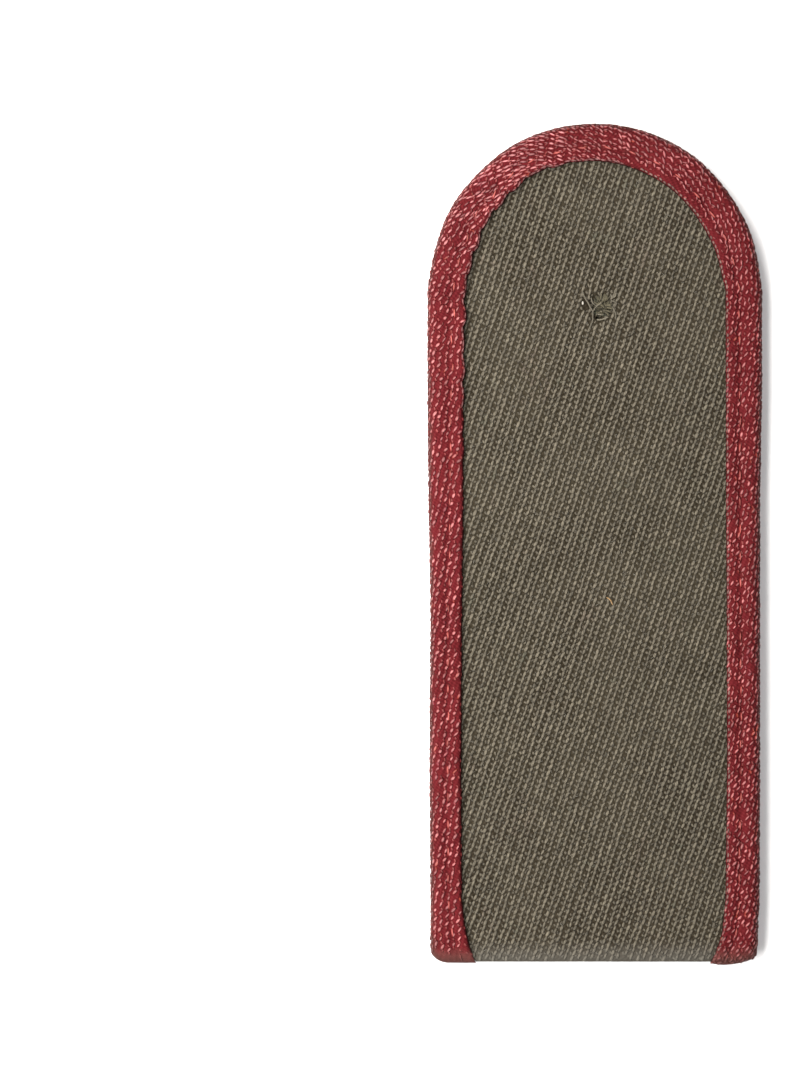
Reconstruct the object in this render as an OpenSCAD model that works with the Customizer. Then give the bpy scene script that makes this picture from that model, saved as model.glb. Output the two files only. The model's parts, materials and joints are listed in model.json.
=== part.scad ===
// Shoulder board lying on its underside, seen from above: the arched button end points to +Y.
// The origin is the centre of its footprint, on the surface that it lies on.

/* [Board] */
// Width over the braid, at the arch
board_w = 45; // [36:0.5:60]
// Length from the tip of the arch to the lowest point of the braid
board_l = 113; // [90:1:150]
// Thickness of the cloth-covered board
board_t = 1.8; // [1.2:0.1:3]
// How far the fold of the cloth stops short of the braid's lowest point
fold_lift = 0.45; // [0.1:0.05:1]

/* [Braid] */
// Thickness of the braid
braid_t = 1; // [0.8:0.1:1.6]
// Width of the braid on the face, where the arch meets the sides
braid_face = 4.6; // [4.2:0.1:7]
// How far the rounded outer edge reaches in
nose_reach = 1.4; // [1.2:0.1:1.5]
// Distance of the sewn line from the inner edge
seam_inset = 1.9; // [1.2:0.1:2]
// How deep the sewn line pulls the braid down
seam_dip = 0.25; // [0:0.05:0.4]
// Rounding of the inner edge
edge_round = 0.35; // [0.1:0.05:0.5]
// Length of each end that is turned under and doubled
tuck_l = 3; // [2:0.1:5]

/* [Gathers] */
// Spacing of the gathers round the left of the arch
gather_pitch = 3.6; // [2:0.1:5]
// How far the deepest gather reaches onto the cloth
gather_depth = 0.35; // [0:0.05:0.6]

/* [Button hole] */
// Bore of the hole, through the board and the tongue
hole_d = 2.2; // [1.4:0.1:4]
// Distance of the hole from the tip of the arch
hole_drop = 24.3; // [16:0.1:36]
// Distance of the hole to the right of the centre line
hole_side = 0.5; // [-3:0.1:3]
// Width of the cloth that is pulled in round the hole
pucker_d = 3.6; // [3:0.1:6]
// Depth of the pulled-in cloth
pucker_depth = 0.3; // [0.1:0.05:0.8]

/* [Tongue] */
// Width of the fastening tongue on the underside
tongue_w = 20; // [12:0.5:24]
// Thickness of the tongue
tongue_t = 1; // [0.8:0.1:1.6]
// Length of the tongue past its hole
tongue_past = 12; // [8:0.5:14]
// Distance of its sewn end from the fold of the cloth
tongue_inset = 3; // [1:0.5:10]
// Length that is sewn to the board
sewn_l = 8; // [4:0.5:20]

/* [Fit] */
// Gap between the pieces
seat_gap = 0.1; // [0.05:0.05:0.2]
// Gap between the cloth and the turned-under ends of the braid
end_gap = 0.2; // [0.15:0.05:0.4]

/* [Hidden] */
$fn = 96;

LEFT = -1;
RIGHT = 1;

// How far a cutting shape passes through a face
cut = 1;

// Heights, from the surface that the board lies on
board_z = max(braid_t, tongue_t) + seat_gap;
mid_z = board_z + board_t / 2;
pocket_h = board_t / 2 + seat_gap;
braid_h = pocket_h + braid_t;

// Places along the board
arch_r = board_w / 2;
arch_y = board_l / 2 - arch_r;
bottom_y = -board_l / 2;
straight_l = arch_y - bottom_y;
fold_y = bottom_y + fold_lift + board_t / 2;
hole_y = board_l / 2 - hole_drop;

// The sides from the arch (drop 0) to the lowest point (drop 1). Half widths are shares of the
// arch's radius, faces are shares of braid_face, and gathers are shares of gather_depth.
HALF_LEFT = 1;
HALF_RIGHT = 2;
FACE_LEFT = 3;
FACE_RIGHT = 4;
GATHER = 5;
side_rows = [
    // drop, half left, half right, face left, face right, gather
    [0.000, 1.000, 1.000, 1.00, 1.00, 1.0],
    [0.150, 1.000, 1.000, 1.00, 1.00, 0.7],
    [0.310, 0.994, 0.988, 0.98, 0.94, 0.0],
    [0.460, 0.982, 0.988, 0.89, 0.93, 0.0],
    [0.700, 0.988, 0.988, 0.86, 0.92, 0.0],
    [0.900, 0.982, 0.985, 0.86, 0.95, 0.0],
    [0.950, 0.982, 0.976, 0.99, 0.98, 0.0],
    [0.975, 0.984, 0.972, 1.14, 1.09, 0.0],
    [1.000, 0.982, 0.966, 1.34, 1.29, 0.0],
];

// The arch from its tip (turn 0) to the sides (turn 1), in the same shares
arch_rows = [
    // turn, face, gather
    [0.0, 1.08, 0.2],
    [0.3, 1.07, 0.8],
    [0.7, 1.05, 1.0],
    [1.0, 1.00, 1.0],
];
ARCH_FACE = 1;
ARCH_GATHER = 2;

// The turned-under ends: lift is a share of braid_t, across of braid_face, along of tuck_l
LIFT = 0;
ACROSS = 1;
ALONG = 2;
end_left = [0.3, 0.55, 0.66]; // lift, corner across, corner along
end_right = [0.0, 0.93, 0.47];

// One gather: how much of its depth each of its rings has
gather_shape = [0, 1, 0.5];
gather_rings = len(gather_shape);
gather_stop = 0.31; // drop at which the gathers have died out

// Fineness of the braid's surface
nose_angles = [0, 30, 60]; // where the rounded outer edge has its corners
arch_steps = 14; // facets in the plain quarter of the arch
roll_steps = 5; // facets from the face to the middle of a turned-under end

function end_of(side) = side == LEFT ? end_left : end_right;
function end_y(side) = bottom_y + end_of(side)[LIFT] * braid_t;
function tuck_y(side) = end_y(side) + tuck_l;

function drop_at(y) = (arch_y - y) / straight_l;
function read(rows, column, key) = lookup(key, [for (row = rows) [row[0], row[column]]]);
function half_w(side, y) = arch_r * read(side_rows, side == LEFT ? HALF_LEFT : HALF_RIGHT, drop_at(y));
function face_w(side, y) = braid_face * read(side_rows, side == LEFT ? FACE_LEFT : FACE_RIGHT, drop_at(y));

// Half of the braid's outer skin, from the inner edge to the rounded outer edge:
// each point is its distance in from the outer edge and its height over the middle
function skin_half(w) = [
    [w, braid_h - edge_round],
    [w - edge_round, braid_h],
    [w - seam_inset, braid_h - seam_dip],
    for (a = nose_angles) [nose_reach * (1 - sin(a)), braid_h * cos(a)],
];
function skin(w, gather) = concat(
    skin_half(w + gather),
    [[0, 0]],
    [for (i = [len(skin_half(w)) - 1:-1:0]) [skin_half(w)[i][0], -skin_half(w)[i][1]]]
);
// The pocket that the edge of the board sits in, in the same terms
function pocket(w, gather) = [
    [w, -pocket_h],
    [braid_t, -pocket_h],
    [braid_t, pocket_h],
    [w + gather, pocket_h],
];
skin_n = len(skin(braid_face, 0));
ring_n = skin_n + len(pocket(braid_face, 0));

function arch_ring(angle, gather) =
    let (w = braid_face * read(arch_rows, ARCH_FACE, abs(angle - 90) / 90))
    [
        for (p = concat(skin(w, gather), pocket(w, gather)))
        [(arch_r - p[0]) * cos(angle), arch_y + (arch_r - p[0]) * sin(angle), mid_z + p[1]]
    ];

function side_ring(side, y, gather) =
    let (w = face_w(side, y))
    [
        for (p = concat(skin(w, gather), pocket(w, gather)))
        [side * (half_w(side, y) - p[0]), y, mid_z + p[1]]
    ];

// How far the rounded corner lifts the end of the braid, at a distance in from the outer edge
function corner_lift(side, inward) =
    let (
        across = end_of(side)[ACROSS] * braid_face,
        along = end_of(side)[ALONG] * tuck_l,
        open = 1 - min(inward / across, 1)
    )
    along * (1 - sqrt(1 - open * open));

// A ring of the turned-under end: turn 0 is flat on the face, turn 1 lies on the middle plane
function roll_ring(side, turn) =
    let (
        down = sin(90 * turn),
        flat = cos(90 * turn),
        top = tuck_y(side),
        skin_y = top - tuck_l * down,
        pocket_y = top - pocket_h / 2 * down
    )
    concat(
        [
            for (p = skin(face_w(side, skin_y), 0))
            [
                side * (half_w(side, skin_y) - p[0]),
                top - (tuck_l - corner_lift(side, p[0])) * down,
                mid_z + p[1] * flat,
            ]
        ],
        [
            for (p = pocket(face_w(side, pocket_y), 0))
            [side * (half_w(side, pocket_y) - p[0]), pocket_y, mid_z + p[1] * flat]
        ]
    );

gather_y = arch_y - gather_stop * straight_l;
gathers_side = round((arch_y - gather_y) / gather_pitch);
gathers_arch = round(PI / 2 * (arch_r - braid_face) / gather_pitch);
fine_n = gathers_side * gather_rings;
arch_n = gathers_arch * gather_rings;

// Where the plain stretch of a side has its rings: at its rows, from one drop down to the turned end
function plain_ys(side, from) = concat(
    [for (row = side_rows) if (row[0] > from && row[0] < drop_at(tuck_y(side))) arch_y - row[0] * straight_l],
    [tuck_y(side)]
);
left_ys = plain_ys(LEFT, gather_stop);
right_ys = plain_ys(RIGHT, 0);

function gather_at(i, share) = gather_depth * share * gather_shape[i % gather_rings];

// The rings in order: up the left side, over the arch, down the right side
rings = concat(
    [for (i = [roll_steps:-1:1]) roll_ring(LEFT, i / roll_steps)],
    [for (i = [len(left_ys) - 1:-1:0]) side_ring(LEFT, left_ys[i], 0)],
    [
        for (i = [0:fine_n])
        let (y = gather_y + (arch_y - gather_y) * i / fine_n)
        side_ring(LEFT, y, gather_at(i, read(side_rows, GATHER, drop_at(y))))
    ],
    [
        for (i = [1:arch_n])
        arch_ring(180 - 90 * i / arch_n, gather_at(i, read(arch_rows, ARCH_GATHER, 1 - i / arch_n)))
    ],
    [for (i = [1:arch_steps]) arch_ring(90 - 90 * i / arch_steps, 0)],
    [for (y = right_ys) side_ring(RIGHT, y, 0)],
    [for (i = [1:roll_steps]) roll_ring(RIGHT, i / roll_steps)]
);
last_ring = len(rings) - 1;

// At both ends the upper half of a ring meets the lower half, so they share their points
function shared(j) = j < skin_n ? min(j, skin_n - 1 - j) : max(j, ring_n - 1 + skin_n - j);
function corner(i, j) = i * ring_n + (i == 0 || i == last_ring ? shared(j % ring_n) : j % ring_n);
function is_face(f) = f[0] != f[1] && f[1] != f[2] && f[2] != f[0];

module edge_braid() {
    faces = [
        for (i = [0:last_ring - 1], j = [0:ring_n - 1])
        each [
            [corner(i, j), corner(i + 1, j), corner(i + 1, j + 1)],
            [corner(i, j), corner(i + 1, j + 1), corner(i, j + 1)],
        ]
    ];
    color("#8e4342")
        polyhedron(points = [for (ring = rings) each ring], faces = [for (f = faces) if (is_face(f)) f]);
}

// One side of the board's outline: inside the braid's pocket, then in between the braid's ends
function board_side(side) = concat(
    [for (y = concat([arch_y], plain_ys(side, 0))) [side * (half_w(side, y) - braid_t - seat_gap), y]],
    [
        for (i = [0:roll_steps])
        let (y = tuck_y(side) - tuck_l * sin(90 * i / roll_steps))
        [side * (half_w(side, y) - face_w(side, y) - end_gap), y]
    ]
);

// The board's plan at its full thickness, with a true round arch
module board_blank() {
    translate([0, arch_y, board_z])
        cylinder(h = board_t, r = arch_r - braid_t - seat_gap);
    left = board_side(LEFT);
    right = board_side(RIGHT);
    translate([0, 0, board_z])
        linear_extrude(board_t)
            polygon(concat([for (i = [len(left) - 1:-1:0]) left[i]], right));
}

// The space that the cloth keeps to where it is folded under at the straight end
module folded_end() {
    translate([-arch_r, fold_y, board_z])
        cube([board_w, board_l, board_t]);
    translate([-arch_r, fold_y, mid_z])
        rotate([0, 90, 0])
            cylinder(h = board_w, d = board_t);
}

module button_bore() {
    translate([hole_side, hole_y, -cut])
        cylinder(h = board_z + board_t + 2 * cut, d = hole_d);
}

module pucker() {
    depth = pucker_depth + cut;
    translate([hole_side, hole_y, board_z + board_t - pucker_depth])
        cylinder(h = depth, d1 = hole_d, d2 = hole_d + (pucker_d - hole_d) * depth / pucker_depth);
}

module cloth_board() {
    color("#655c4e")
        difference() {
            intersection() {
                board_blank();
                folded_end();
            }
            button_bore();
            pucker();
        }
}

module fastening_tongue() {
    start_y = bottom_y + fold_lift + tongue_inset;
    round_y = hole_y + tongue_past - tongue_w / 2;
    strip_z = board_z - seat_gap - tongue_t;
    color("#5c5447")
        difference() {
            union() {
                translate([-tongue_w / 2, start_y, strip_z])
                    cube([tongue_w, round_y - start_y, tongue_t]);
                translate([0, round_y, strip_z])
                    cylinder(h = tongue_t, d = tongue_w);
                translate([-tongue_w / 2, start_y, strip_z])
                    cube([tongue_w, sewn_l, tongue_t + seat_gap]);
            }
            button_bore();
        }
}

cloth_board();
edge_braid();
fastening_tongue();
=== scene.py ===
import json
import math
import random

import bmesh
import bpy
import numpy as np
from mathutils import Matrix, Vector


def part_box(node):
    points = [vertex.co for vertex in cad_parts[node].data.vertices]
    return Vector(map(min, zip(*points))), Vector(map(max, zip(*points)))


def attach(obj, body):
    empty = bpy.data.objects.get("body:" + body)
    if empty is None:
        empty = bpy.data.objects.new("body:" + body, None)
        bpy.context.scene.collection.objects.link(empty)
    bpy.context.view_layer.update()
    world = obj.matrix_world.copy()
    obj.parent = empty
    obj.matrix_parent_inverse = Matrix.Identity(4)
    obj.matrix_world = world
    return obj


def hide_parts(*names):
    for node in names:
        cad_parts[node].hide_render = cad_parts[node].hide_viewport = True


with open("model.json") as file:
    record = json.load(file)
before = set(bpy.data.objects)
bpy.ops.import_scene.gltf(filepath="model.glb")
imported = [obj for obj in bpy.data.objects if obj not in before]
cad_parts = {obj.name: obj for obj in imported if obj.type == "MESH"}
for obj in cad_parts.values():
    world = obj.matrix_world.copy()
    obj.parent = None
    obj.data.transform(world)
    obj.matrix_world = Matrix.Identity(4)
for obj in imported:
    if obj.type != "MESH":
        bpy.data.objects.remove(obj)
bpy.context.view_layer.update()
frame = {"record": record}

# Shapes are worked out in millimetres, and become metres where a mesh or a modifier gets them.
mm = 0.001
uvSpan = 320.0  # millimetres of cloth across the whole UV square
offMap, offWeave = (-20.0, -20.0), (-60.0, -60.0)  # places on the two maps where no float is laid
leftSide, rightSide = -1, 1

braidLow, braidHigh = [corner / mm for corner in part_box("edge_braid")]
boardLow, boardHigh = [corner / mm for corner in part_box("cloth_board")]
tongueLow, tongueHigh = [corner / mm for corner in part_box("fastening_tongue")]
hole = [mount for mount in frame["record"]["mounts"] if mount["name"] == "button_hole"][0]
holeX, holeY = [place / mm for place in hole["pos_m"][:2]]
archRadius = (braidHigh.x - braidLow.x) / 2
archY = braidHigh.y - archRadius
bottomY = braidLow.y
midZ = (braidLow.z + braidHigh.z) / 2
sideLength = archY - bottomY
print("frame loaded: arch radius", round(archRadius, 2), "sides", round(sideLength, 2))


# Mesh helpers.

def linked(name, mesh):
    obj = bpy.data.objects.new(name, mesh)
    bpy.context.scene.collection.objects.link(obj)
    return obj


def setAttribute(mesh, name, kind, values):
    data = mesh.attributes.new(name, kind, "POINT").data
    data.foreach_set("vector" if kind == "FLOAT_VECTOR" else "value", np.asarray(values, float).ravel())


def makeObject(name, points, faces, cornerUv=None, along=None, gap=None, weaveUv=None):
    mesh = bpy.data.meshes.new(name)
    mesh.from_pydata((np.asarray(points, float) * mm).tolist(), [], faces)
    for label, flat in (("clothUv", cornerUv), ("weaveUv", weaveUv)):
        if flat is not None:
            layer = mesh.uv_layers.new(name=label)
            layer.data.foreach_set("uv", (np.asarray(flat, float) / uvSpan).ravel())
    if along is not None:
        setAttribute(mesh, "along", "FLOAT_VECTOR", along)
    if gap is not None:
        setAttribute(mesh, "gap", "FLOAT", np.asarray(gap, float) * mm)
    mesh.polygons.foreach_set("use_smooth", [True] * len(mesh.polygons))
    return linked(name, mesh)


def closeUp(obj):
    # Merges points that lie on each other, then turns all faces outwards.
    work = bmesh.new()
    work.from_mesh(obj.data)
    bmesh.ops.remove_doubles(work, verts=work.verts, dist=0.002 * mm)
    bmesh.ops.recalc_face_normals(work, faces=work.faces)
    work.to_mesh(obj.data)
    work.free()
    return obj


def ringFaces(rows, ring):
    # The corners of every face between the rows of a tube, as row and place in the row.
    for i in range(rows - 1):
        for j in range(ring):
            nextJ = (j + 1) % ring
            yield j, [(i, j), (i + 1, j), (i + 1, nextJ), (i, nextJ)]


def makeGround(name, material, grid, faces, cornerUv, along, gap, weaveUv=None):
    obj = makeObject(name, grid.reshape(-1, 3), faces, cornerUv, along, gap, weaveUv)
    closeUp(obj)
    obj.data.materials.append(material)
    print(name, "made:", len(faces), "faces")
    return obj


def rowDirections(grid):
    # The direction from each row of points to the next, for every point of a grid.
    lines = np.gradient(grid, axis=0)
    return lines / np.maximum(np.linalg.norm(lines, axis=2, keepdims=True), 1e-9)


def readRow(rows, column, key):
    return float(np.interp(key, [row[0] for row in rows], [row[column] for row in rows]))


# Node helpers.

def feed(tree, socket, source):
    # A node socket gets either a link or a plain value.
    if isinstance(source, bpy.types.NodeSocket):
        tree.links.new(source, socket)
    else:
        socket.default_value = source


def addNode(tree, kind, inputs=None, **settings):
    made = tree.nodes.new(kind)
    for key, value in settings.items():
        setattr(made, key, value)
    for key, source in (inputs or {}).items():
        feed(tree, made.inputs[key], source)
    return made


def calc(tree, operation, *sources, clamp=False):
    inputs = dict(enumerate(sources))
    return addNode(tree, "ShaderNodeMath", inputs, operation=operation, use_clamp=clamp).outputs[0]


def vectorCalc(tree, operation, *sources):
    made = addNode(tree, "ShaderNodeVectorMath", dict(enumerate(sources)), operation=operation)
    return made.outputs["Value" if operation in ("DOT_PRODUCT", "LENGTH") else "Vector"]


def scaleVector(tree, vector, factor):
    made = addNode(tree, "ShaderNodeVectorMath", {"Vector": vector, "Scale": factor}, operation="SCALE")
    return made.outputs["Vector"]


def rampValue(tree, value, fromLow, fromHigh, toLow=0.0, toHigh=1.0):
    inputs = {"Value": value, "From Min": fromLow, "From Max": fromHigh, "To Min": toLow, "To Max": toHigh}
    made = addNode(tree, "ShaderNodeMapRange", inputs, interpolation_type="SMOOTHSTEP", clamp=True)
    return made.outputs["Result"]


def mixColour(tree, factor, first, second, blend="MIX"):
    made = addNode(tree, "ShaderNodeMix", data_type="RGBA", blend_type=blend, clamp_factor=True)
    feed(tree, made.inputs[0], factor)
    feed(tree, made.inputs[6], first)
    feed(tree, made.inputs[7], second)
    return made.outputs[2]
def split(tree, vector):
    return addNode(tree, "ShaderNodeSeparateXYZ", {"Vector": vector}).outputs


def combine(tree, x=0.0, y=0.0, z=0.0):
    return addNode(tree, "ShaderNodeCombineXYZ", {"X": x, "Y": y, "Z": z}).outputs[0]


def noiseOf(tree, vector, detail, scale=1.0):
    return addNode(tree, "ShaderNodeTexNoise", {"Vector": vector, "Scale": scale, "Detail": detail}).outputs


# Geometry node helpers.

def startTree(name, sockets):
    tree = bpy.data.node_groups.new(name, "GeometryNodeTree")
    for label, kind in [("Geometry", "Geometry"), *sockets]:
        tree.interface.new_socket(label, in_out="INPUT", socket_type="NodeSocket" + kind)
    tree.interface.new_socket("Geometry", in_out="OUTPUT", socket_type="NodeSocketGeometry")
    return tree, tree.nodes.new("NodeGroupInput").outputs


def through(tree, geometry, kind, inputs=None, **settings):
    # Sends a geometry through one more node.
    made = addNode(tree, kind, inputs, **settings)
    tree.links.new(geometry, made.inputs[0])
    return made.outputs[0]


def attribute(tree, name, kind="FLOAT"):
    made = addNode(tree, "GeometryNodeInputNamedAttribute", {"Name": name}, data_type=kind)
    return made.outputs["Attribute"]


def store(tree, geometry, name, kind, value):
    inputs = {"Name": name, "Value": value}
    return through(tree, geometry, "GeometryNodeStoreNamedAttribute", inputs, data_type=kind)


def endTree(tree, geometry, material, spare=()):
    # Closes a tree, and tells which identifier each named input has.
    geometry = through(tree, geometry, "GeometryNodeRealizeInstances")
    for name in spare:
        geometry = through(tree, geometry, "GeometryNodeRemoveAttribute", {"Name": name})
    geometry = through(tree, geometry, "GeometryNodeSetMaterial", {"Material": material})
    tree.links.new(geometry, tree.nodes.new("NodeGroupOutput").inputs["Geometry"])
    return tree, {item.name: item.identifier for item in tree.interface.items_tree if item.in_out == "INPUT"}


# Woven floats, as a Geometry Nodes tree.

def buildFloatTree():
    # Lays small yarn floats in a lattice over a cloth's own UV map, leaning from its long direction.
    tree, given = startTree("floats laid on cloth", [
        ("Start", "Vector"), ("Column Step", "Vector"), ("Row Step", "Vector"),
        ("Columns", "Int"), ("Rows", "Int"),
        ("Width", "Float"), ("Length", "Float"), ("Height", "Float"), ("Lift", "Float"),
        ("Lean", "Float"), ("Lean Spread", "Float"), ("Size Spread", "Float"), ("Place Spread", "Float"),
        ("Wander", "Float"), ("Wander Size", "Float"), ("Missing", "Float"), ("Least Gap", "Float"),
        ("Sides", "Int"), ("Rings", "Int"), ("Seed", "Int"),
        ("Cloth Map", "String"), ("Material", "Material"),
    ])

    # the lattice: a column and a row for each point's number
    columns = given["Columns"]
    count = calc(tree, "MULTIPLY", columns, given["Rows"])
    points = addNode(tree, "GeometryNodePoints", {"Count": count}).outputs[0]
    index = tree.nodes.new("GeometryNodeInputIndex").outputs["Index"]
    across = scaleVector(tree, given["Column Step"], calc(tree, "MODULO", index, columns))
    up = scaleVector(tree, given["Row Step"], calc(tree, "FLOOR", calc(tree, "DIVIDE", index, columns)))
    flat = vectorCalc(tree, "ADD", vectorCalc(tree, "ADD", given["Start"], across), up)

    # small slips of single floats, and a slow wandering of the whole cloth
    def randomVector(offset):
        shifted = calc(tree, "ADD", given["Seed"], float(offset))
        inputs = {"Min": (-1.0, -1.0, -1.0), "Max": (1.0, 1.0, 1.0), "Seed": shifted}
        return addNode(tree, "FunctionNodeRandomValue", inputs, data_type="FLOAT_VECTOR").outputs["Value"]

    slip = scaleVector(tree, randomVector(0), given["Place Spread"])
    waves = scaleVector(tree, flat, calc(tree, "DIVIDE", 1.0, given["Wander Size"]))
    swing = vectorCalc(tree, "SUBTRACT", noiseOf(tree, waves, 1.0)["Color"], (0.5, 0.5, 0.5))
    wander = scaleVector(tree, swing, given["Wander"])
    flat = vectorCalc(tree, "ADD", vectorCalc(tree, "ADD", flat, slip), wander)
    place = scaleVector(tree, flat, 1.0 / (uvSpan * mm))

    # what the cloth has there
    clothMap = attribute(tree, given["Cloth Map"], "FLOAT_VECTOR")

    def sampled(value, kind="FLOAT_VECTOR"):
        inputs = {"Mesh": given["Geometry"], "UV Map": clothMap, "Sample UV": place, "Value": value}
        return addNode(tree, "GeometryNodeSampleUVSurface", inputs, data_type=kind).outputs

    position = sampled(tree.nodes.new("GeometryNodeInputPosition").outputs["Position"])
    normal = sampled(tree.nodes.new("GeometryNodeInputNormal").outputs["Normal"])["Value"]
    along = sampled(attribute(tree, "along", "FLOAT_VECTOR"))["Value"]
    gap = sampled(attribute(tree, "gap"), "FLOAT")["Value"]

    # points off the cloth, under its neighbour, or left out by chance go
    def logic(operation, *sources):
        made = addNode(tree, "FunctionNodeBooleanMath", dict(enumerate(sources)), operation=operation)
        return made.outputs[0]

    chance = randomVector(1)
    parts = split(tree, randomVector(2))
    hidden = calc(tree, "LESS_THAN", gap, given["Least Gap"])
    dropped = calc(tree, "LESS_THAN", calc(tree, "ABSOLUTE", parts["X"]), given["Missing"])
    gone = logic("OR", logic("NOT", position["Is Valid"]), logic("OR", hidden, dropped))
    lifted = vectorCalc(tree, "ADD", position["Value"], scaleVector(tree, normal, given["Lift"]))

    # the frame of each float: its face along the normal, its length near the cloth's long direction
    frames = addNode(tree, "FunctionNodeAxesToRotation", {0: normal, 1: along})
    frames.primary_axis, frames.secondary_axis = "Z", "Y"
    lean = calc(tree, "ADD", given["Lean"], calc(tree, "MULTIPLY", parts["Y"], given["Lean Spread"]))
    leanTurn = addNode(tree, "FunctionNodeEulerToRotation", {0: combine(tree, z=lean)})
    turned = addNode(tree, "FunctionNodeRotateRotation", {0: frames.outputs[0], 1: leanTurn.outputs[0]})
    turned.rotation_space = "LOCAL"
    growth = scaleVector(tree, randomVector(3), given["Size Spread"])
    growth = vectorCalc(tree, "ADD", growth, (1.0, 1.0, 1.0))
    sizes = combine(tree, given["Width"], given["Length"], given["Height"])
    sizes = vectorCalc(tree, "MULTIPLY", sizes, growth)

    # order matters: everything that reads the point's number is stored before any point goes
    points = store(tree, points, "chance", "FLOAT_VECTOR", chance)
    points = store(tree, points, "turned", "QUATERNION", turned.outputs[0])
    points = store(tree, points, "sizes", "FLOAT_VECTOR", sizes)
    points = store(tree, points, "gone", "BOOLEAN", gone)
    points = through(tree, points, "GeometryNodeSetPosition", {"Position": lifted})
    inputs = {"Selection": attribute(tree, "gone", "BOOLEAN")}
    points = through(tree, points, "GeometryNodeDeleteGeometry", inputs, domain="POINT")

    # one float: a slim ball with its poles at the two ends
    inputs = {"Segments": given["Sides"], "Rings": given["Rings"], "Radius": 0.5}
    ball = addNode(tree, "GeometryNodeMeshUVSphere", inputs).outputs["Mesh"]
    ball = through(tree, ball, "GeometryNodeTransform", {"Rotation": (math.pi / 2, 0, 0)})
    ball = through(tree, ball, "GeometryNodeSetShadeSmooth", {"Shade Smooth": True})
    strand = scaleVector(tree, tree.nodes.new("GeometryNodeInputPosition").outputs["Position"], 2.0)
    ball = store(tree, ball, "strand", "FLOAT_VECTOR", strand)
    turns, scales = attribute(tree, "turned", "QUATERNION"), attribute(tree, "sizes", "FLOAT_VECTOR")
    inputs = {"Instance": ball, "Rotation": turns, "Scale": scales}
    instances = through(tree, points, "GeometryNodeInstanceOnPoints", inputs)
    return endTree(tree, instances, given["Material"], ("turned", "sizes", "gone"))


def buildYarnTree():
    # Turns drawn lines into round yarns. Each line brings its thickness and its chance numbers.
    tree, given = startTree("yarns along lines", [
        ("Radius", "Float"), ("Steps", "Int"), ("Sides", "Int"), ("Facing", "Float"),
        ("Material", "Material"),
    ])
    lines = through(tree, given["Geometry"], "GeometryNodeMeshToCurve")
    lines = through(tree, lines, "GeometryNodeCurveSplineType", spline_type="BEZIER")
    lines = through(tree, lines, "GeometryNodeCurveSetHandles", handle_type="AUTO")
    lines = through(tree, lines, "GeometryNodeResampleCurve", {"Count": given["Steps"]})
    lines = through(tree, lines, "GeometryNodeSetCurveRadius", {"Radius": attribute(tree, "thickness")})
    share = tree.nodes.new("GeometryNodeSplineParameter").outputs["Factor"]
    lines = store(tree, lines, "share", "FLOAT", share)
    inputs = {"Resolution": given["Sides"], "Radius": given["Radius"]}
    ring = addNode(tree, "GeometryNodeCurvePrimitiveCircle", inputs).outputs["Curve"]
    tubes = through(tree, lines, "GeometryNodeCurveToMesh", {"Profile Curve": ring, "Fill Caps": True})
    tubes = through(tree, tubes, "GeometryNodeSetShadeSmooth", {"Shade Smooth": True})

    # the strand attribute, as the woven floats have it; its height sets where the yarn's painted shade and
    # highlight fall
    parts = split(tree, tree.nodes.new("GeometryNodeInputNormal").outputs["Normal"])
    run = calc(tree, "SUBTRACT", attribute(tree, "share"), 0.5)
    crown = calc(tree, "MULTIPLY", parts["Z"], given["Facing"])
    tubes = store(tree, tubes, "strand", "FLOAT_VECTOR", combine(tree, parts["X"], run, crown))
    return endTree(tree, tubes, given["Material"])


def drawYarns(name, lines, material, radius, steps, sides, facing=1.0):
    # Each line is a list of points in millimetres, a thickness share and three chance numbers.
    # facing is -1 for threads that are seen from underneath, so that the painted highlight on their crown faces
    # down.
    points, edges, thickness, chances = [], [], [], []
    for path, thick, chance in lines:
        edges += [(len(points) + i, len(points) + i + 1) for i in range(len(path) - 1)]
        points += path
        thickness += [thick] * len(path)
        chances += list(chance) * len(path)
    mesh = bpy.data.meshes.new(name)
    mesh.from_pydata((np.array(points) * mm).tolist(), edges, [])
    setAttribute(mesh, "thickness", "FLOAT", thickness)
    setAttribute(mesh, "chance", "FLOAT_VECTOR", chances)
    values = {"Radius": radius * mm, "Steps": steps, "Sides": sides, "Facing": facing, "Material": material}
    return keepResult(linked(name, mesh), yarnTree, yarnSockets, values)


def keepResult(obj, tree, sockets, values):
    # Gives a tree its values, and keeps what it makes as a plain mesh.
    modifier = obj.modifiers.new("weaving", "NODES")
    modifier.node_group = tree
    for key, value in values.items():
        modifier[sockets[key]] = value
    obj.update_tag()
    evaluated = obj.evaluated_get(bpy.context.evaluated_depsgraph_get())
    mesh = bpy.data.meshes.new_from_object(evaluated)
    obj.modifiers.clear()
    obj.data = mesh
    mesh.name = obj.name
    mesh.materials.clear()
    mesh.materials.append(values["Material"])
    triangles = sum(len(face.vertices) - 2 for face in mesh.polygons)
    print(obj.name, "woven:", triangles, "triangles")
    return obj


yarnTree, yarnSockets = buildYarnTree()
floatTree, floatSockets = buildFloatTree()
floatDefaults = {
    "Column Step": (1.0, 0.0), "Lift": 0.0, "Lean": 0.0, "Wander": 0.0, "Wander Size": 12.0,
    "Missing": 0.0, "Least Gap": -1000.0, "Sides": 5, "Rings": 4, "Cloth Map": "clothUv",
}
inMillimetres = ("Width", "Length", "Height", "Lift", "Place Spread", "Wander", "Wander Size", "Least Gap")


def layFloats(cloth, name, material, **values):
    # Runs the tree over a copy of the cloth and keeps the floats as a plain mesh.
    obj = linked(name, cloth.data.copy())
    named = {key.replace("_", " "): value for key, value in values.items()}
    given = {"Material": material}
    for key, value in {**floatDefaults, **named}.items():
        if isinstance(value, tuple):
            value = (value[0] * mm, value[1] * mm, 0.0)
        elif key in inMillimetres:
            value = value * mm
        elif key in ("Lean", "Lean Spread"):
            value = math.radians(value)
        given[key] = value
    return keepResult(obj, floatTree, floatSockets, given)


# Shader groups, shared by the materials.

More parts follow.
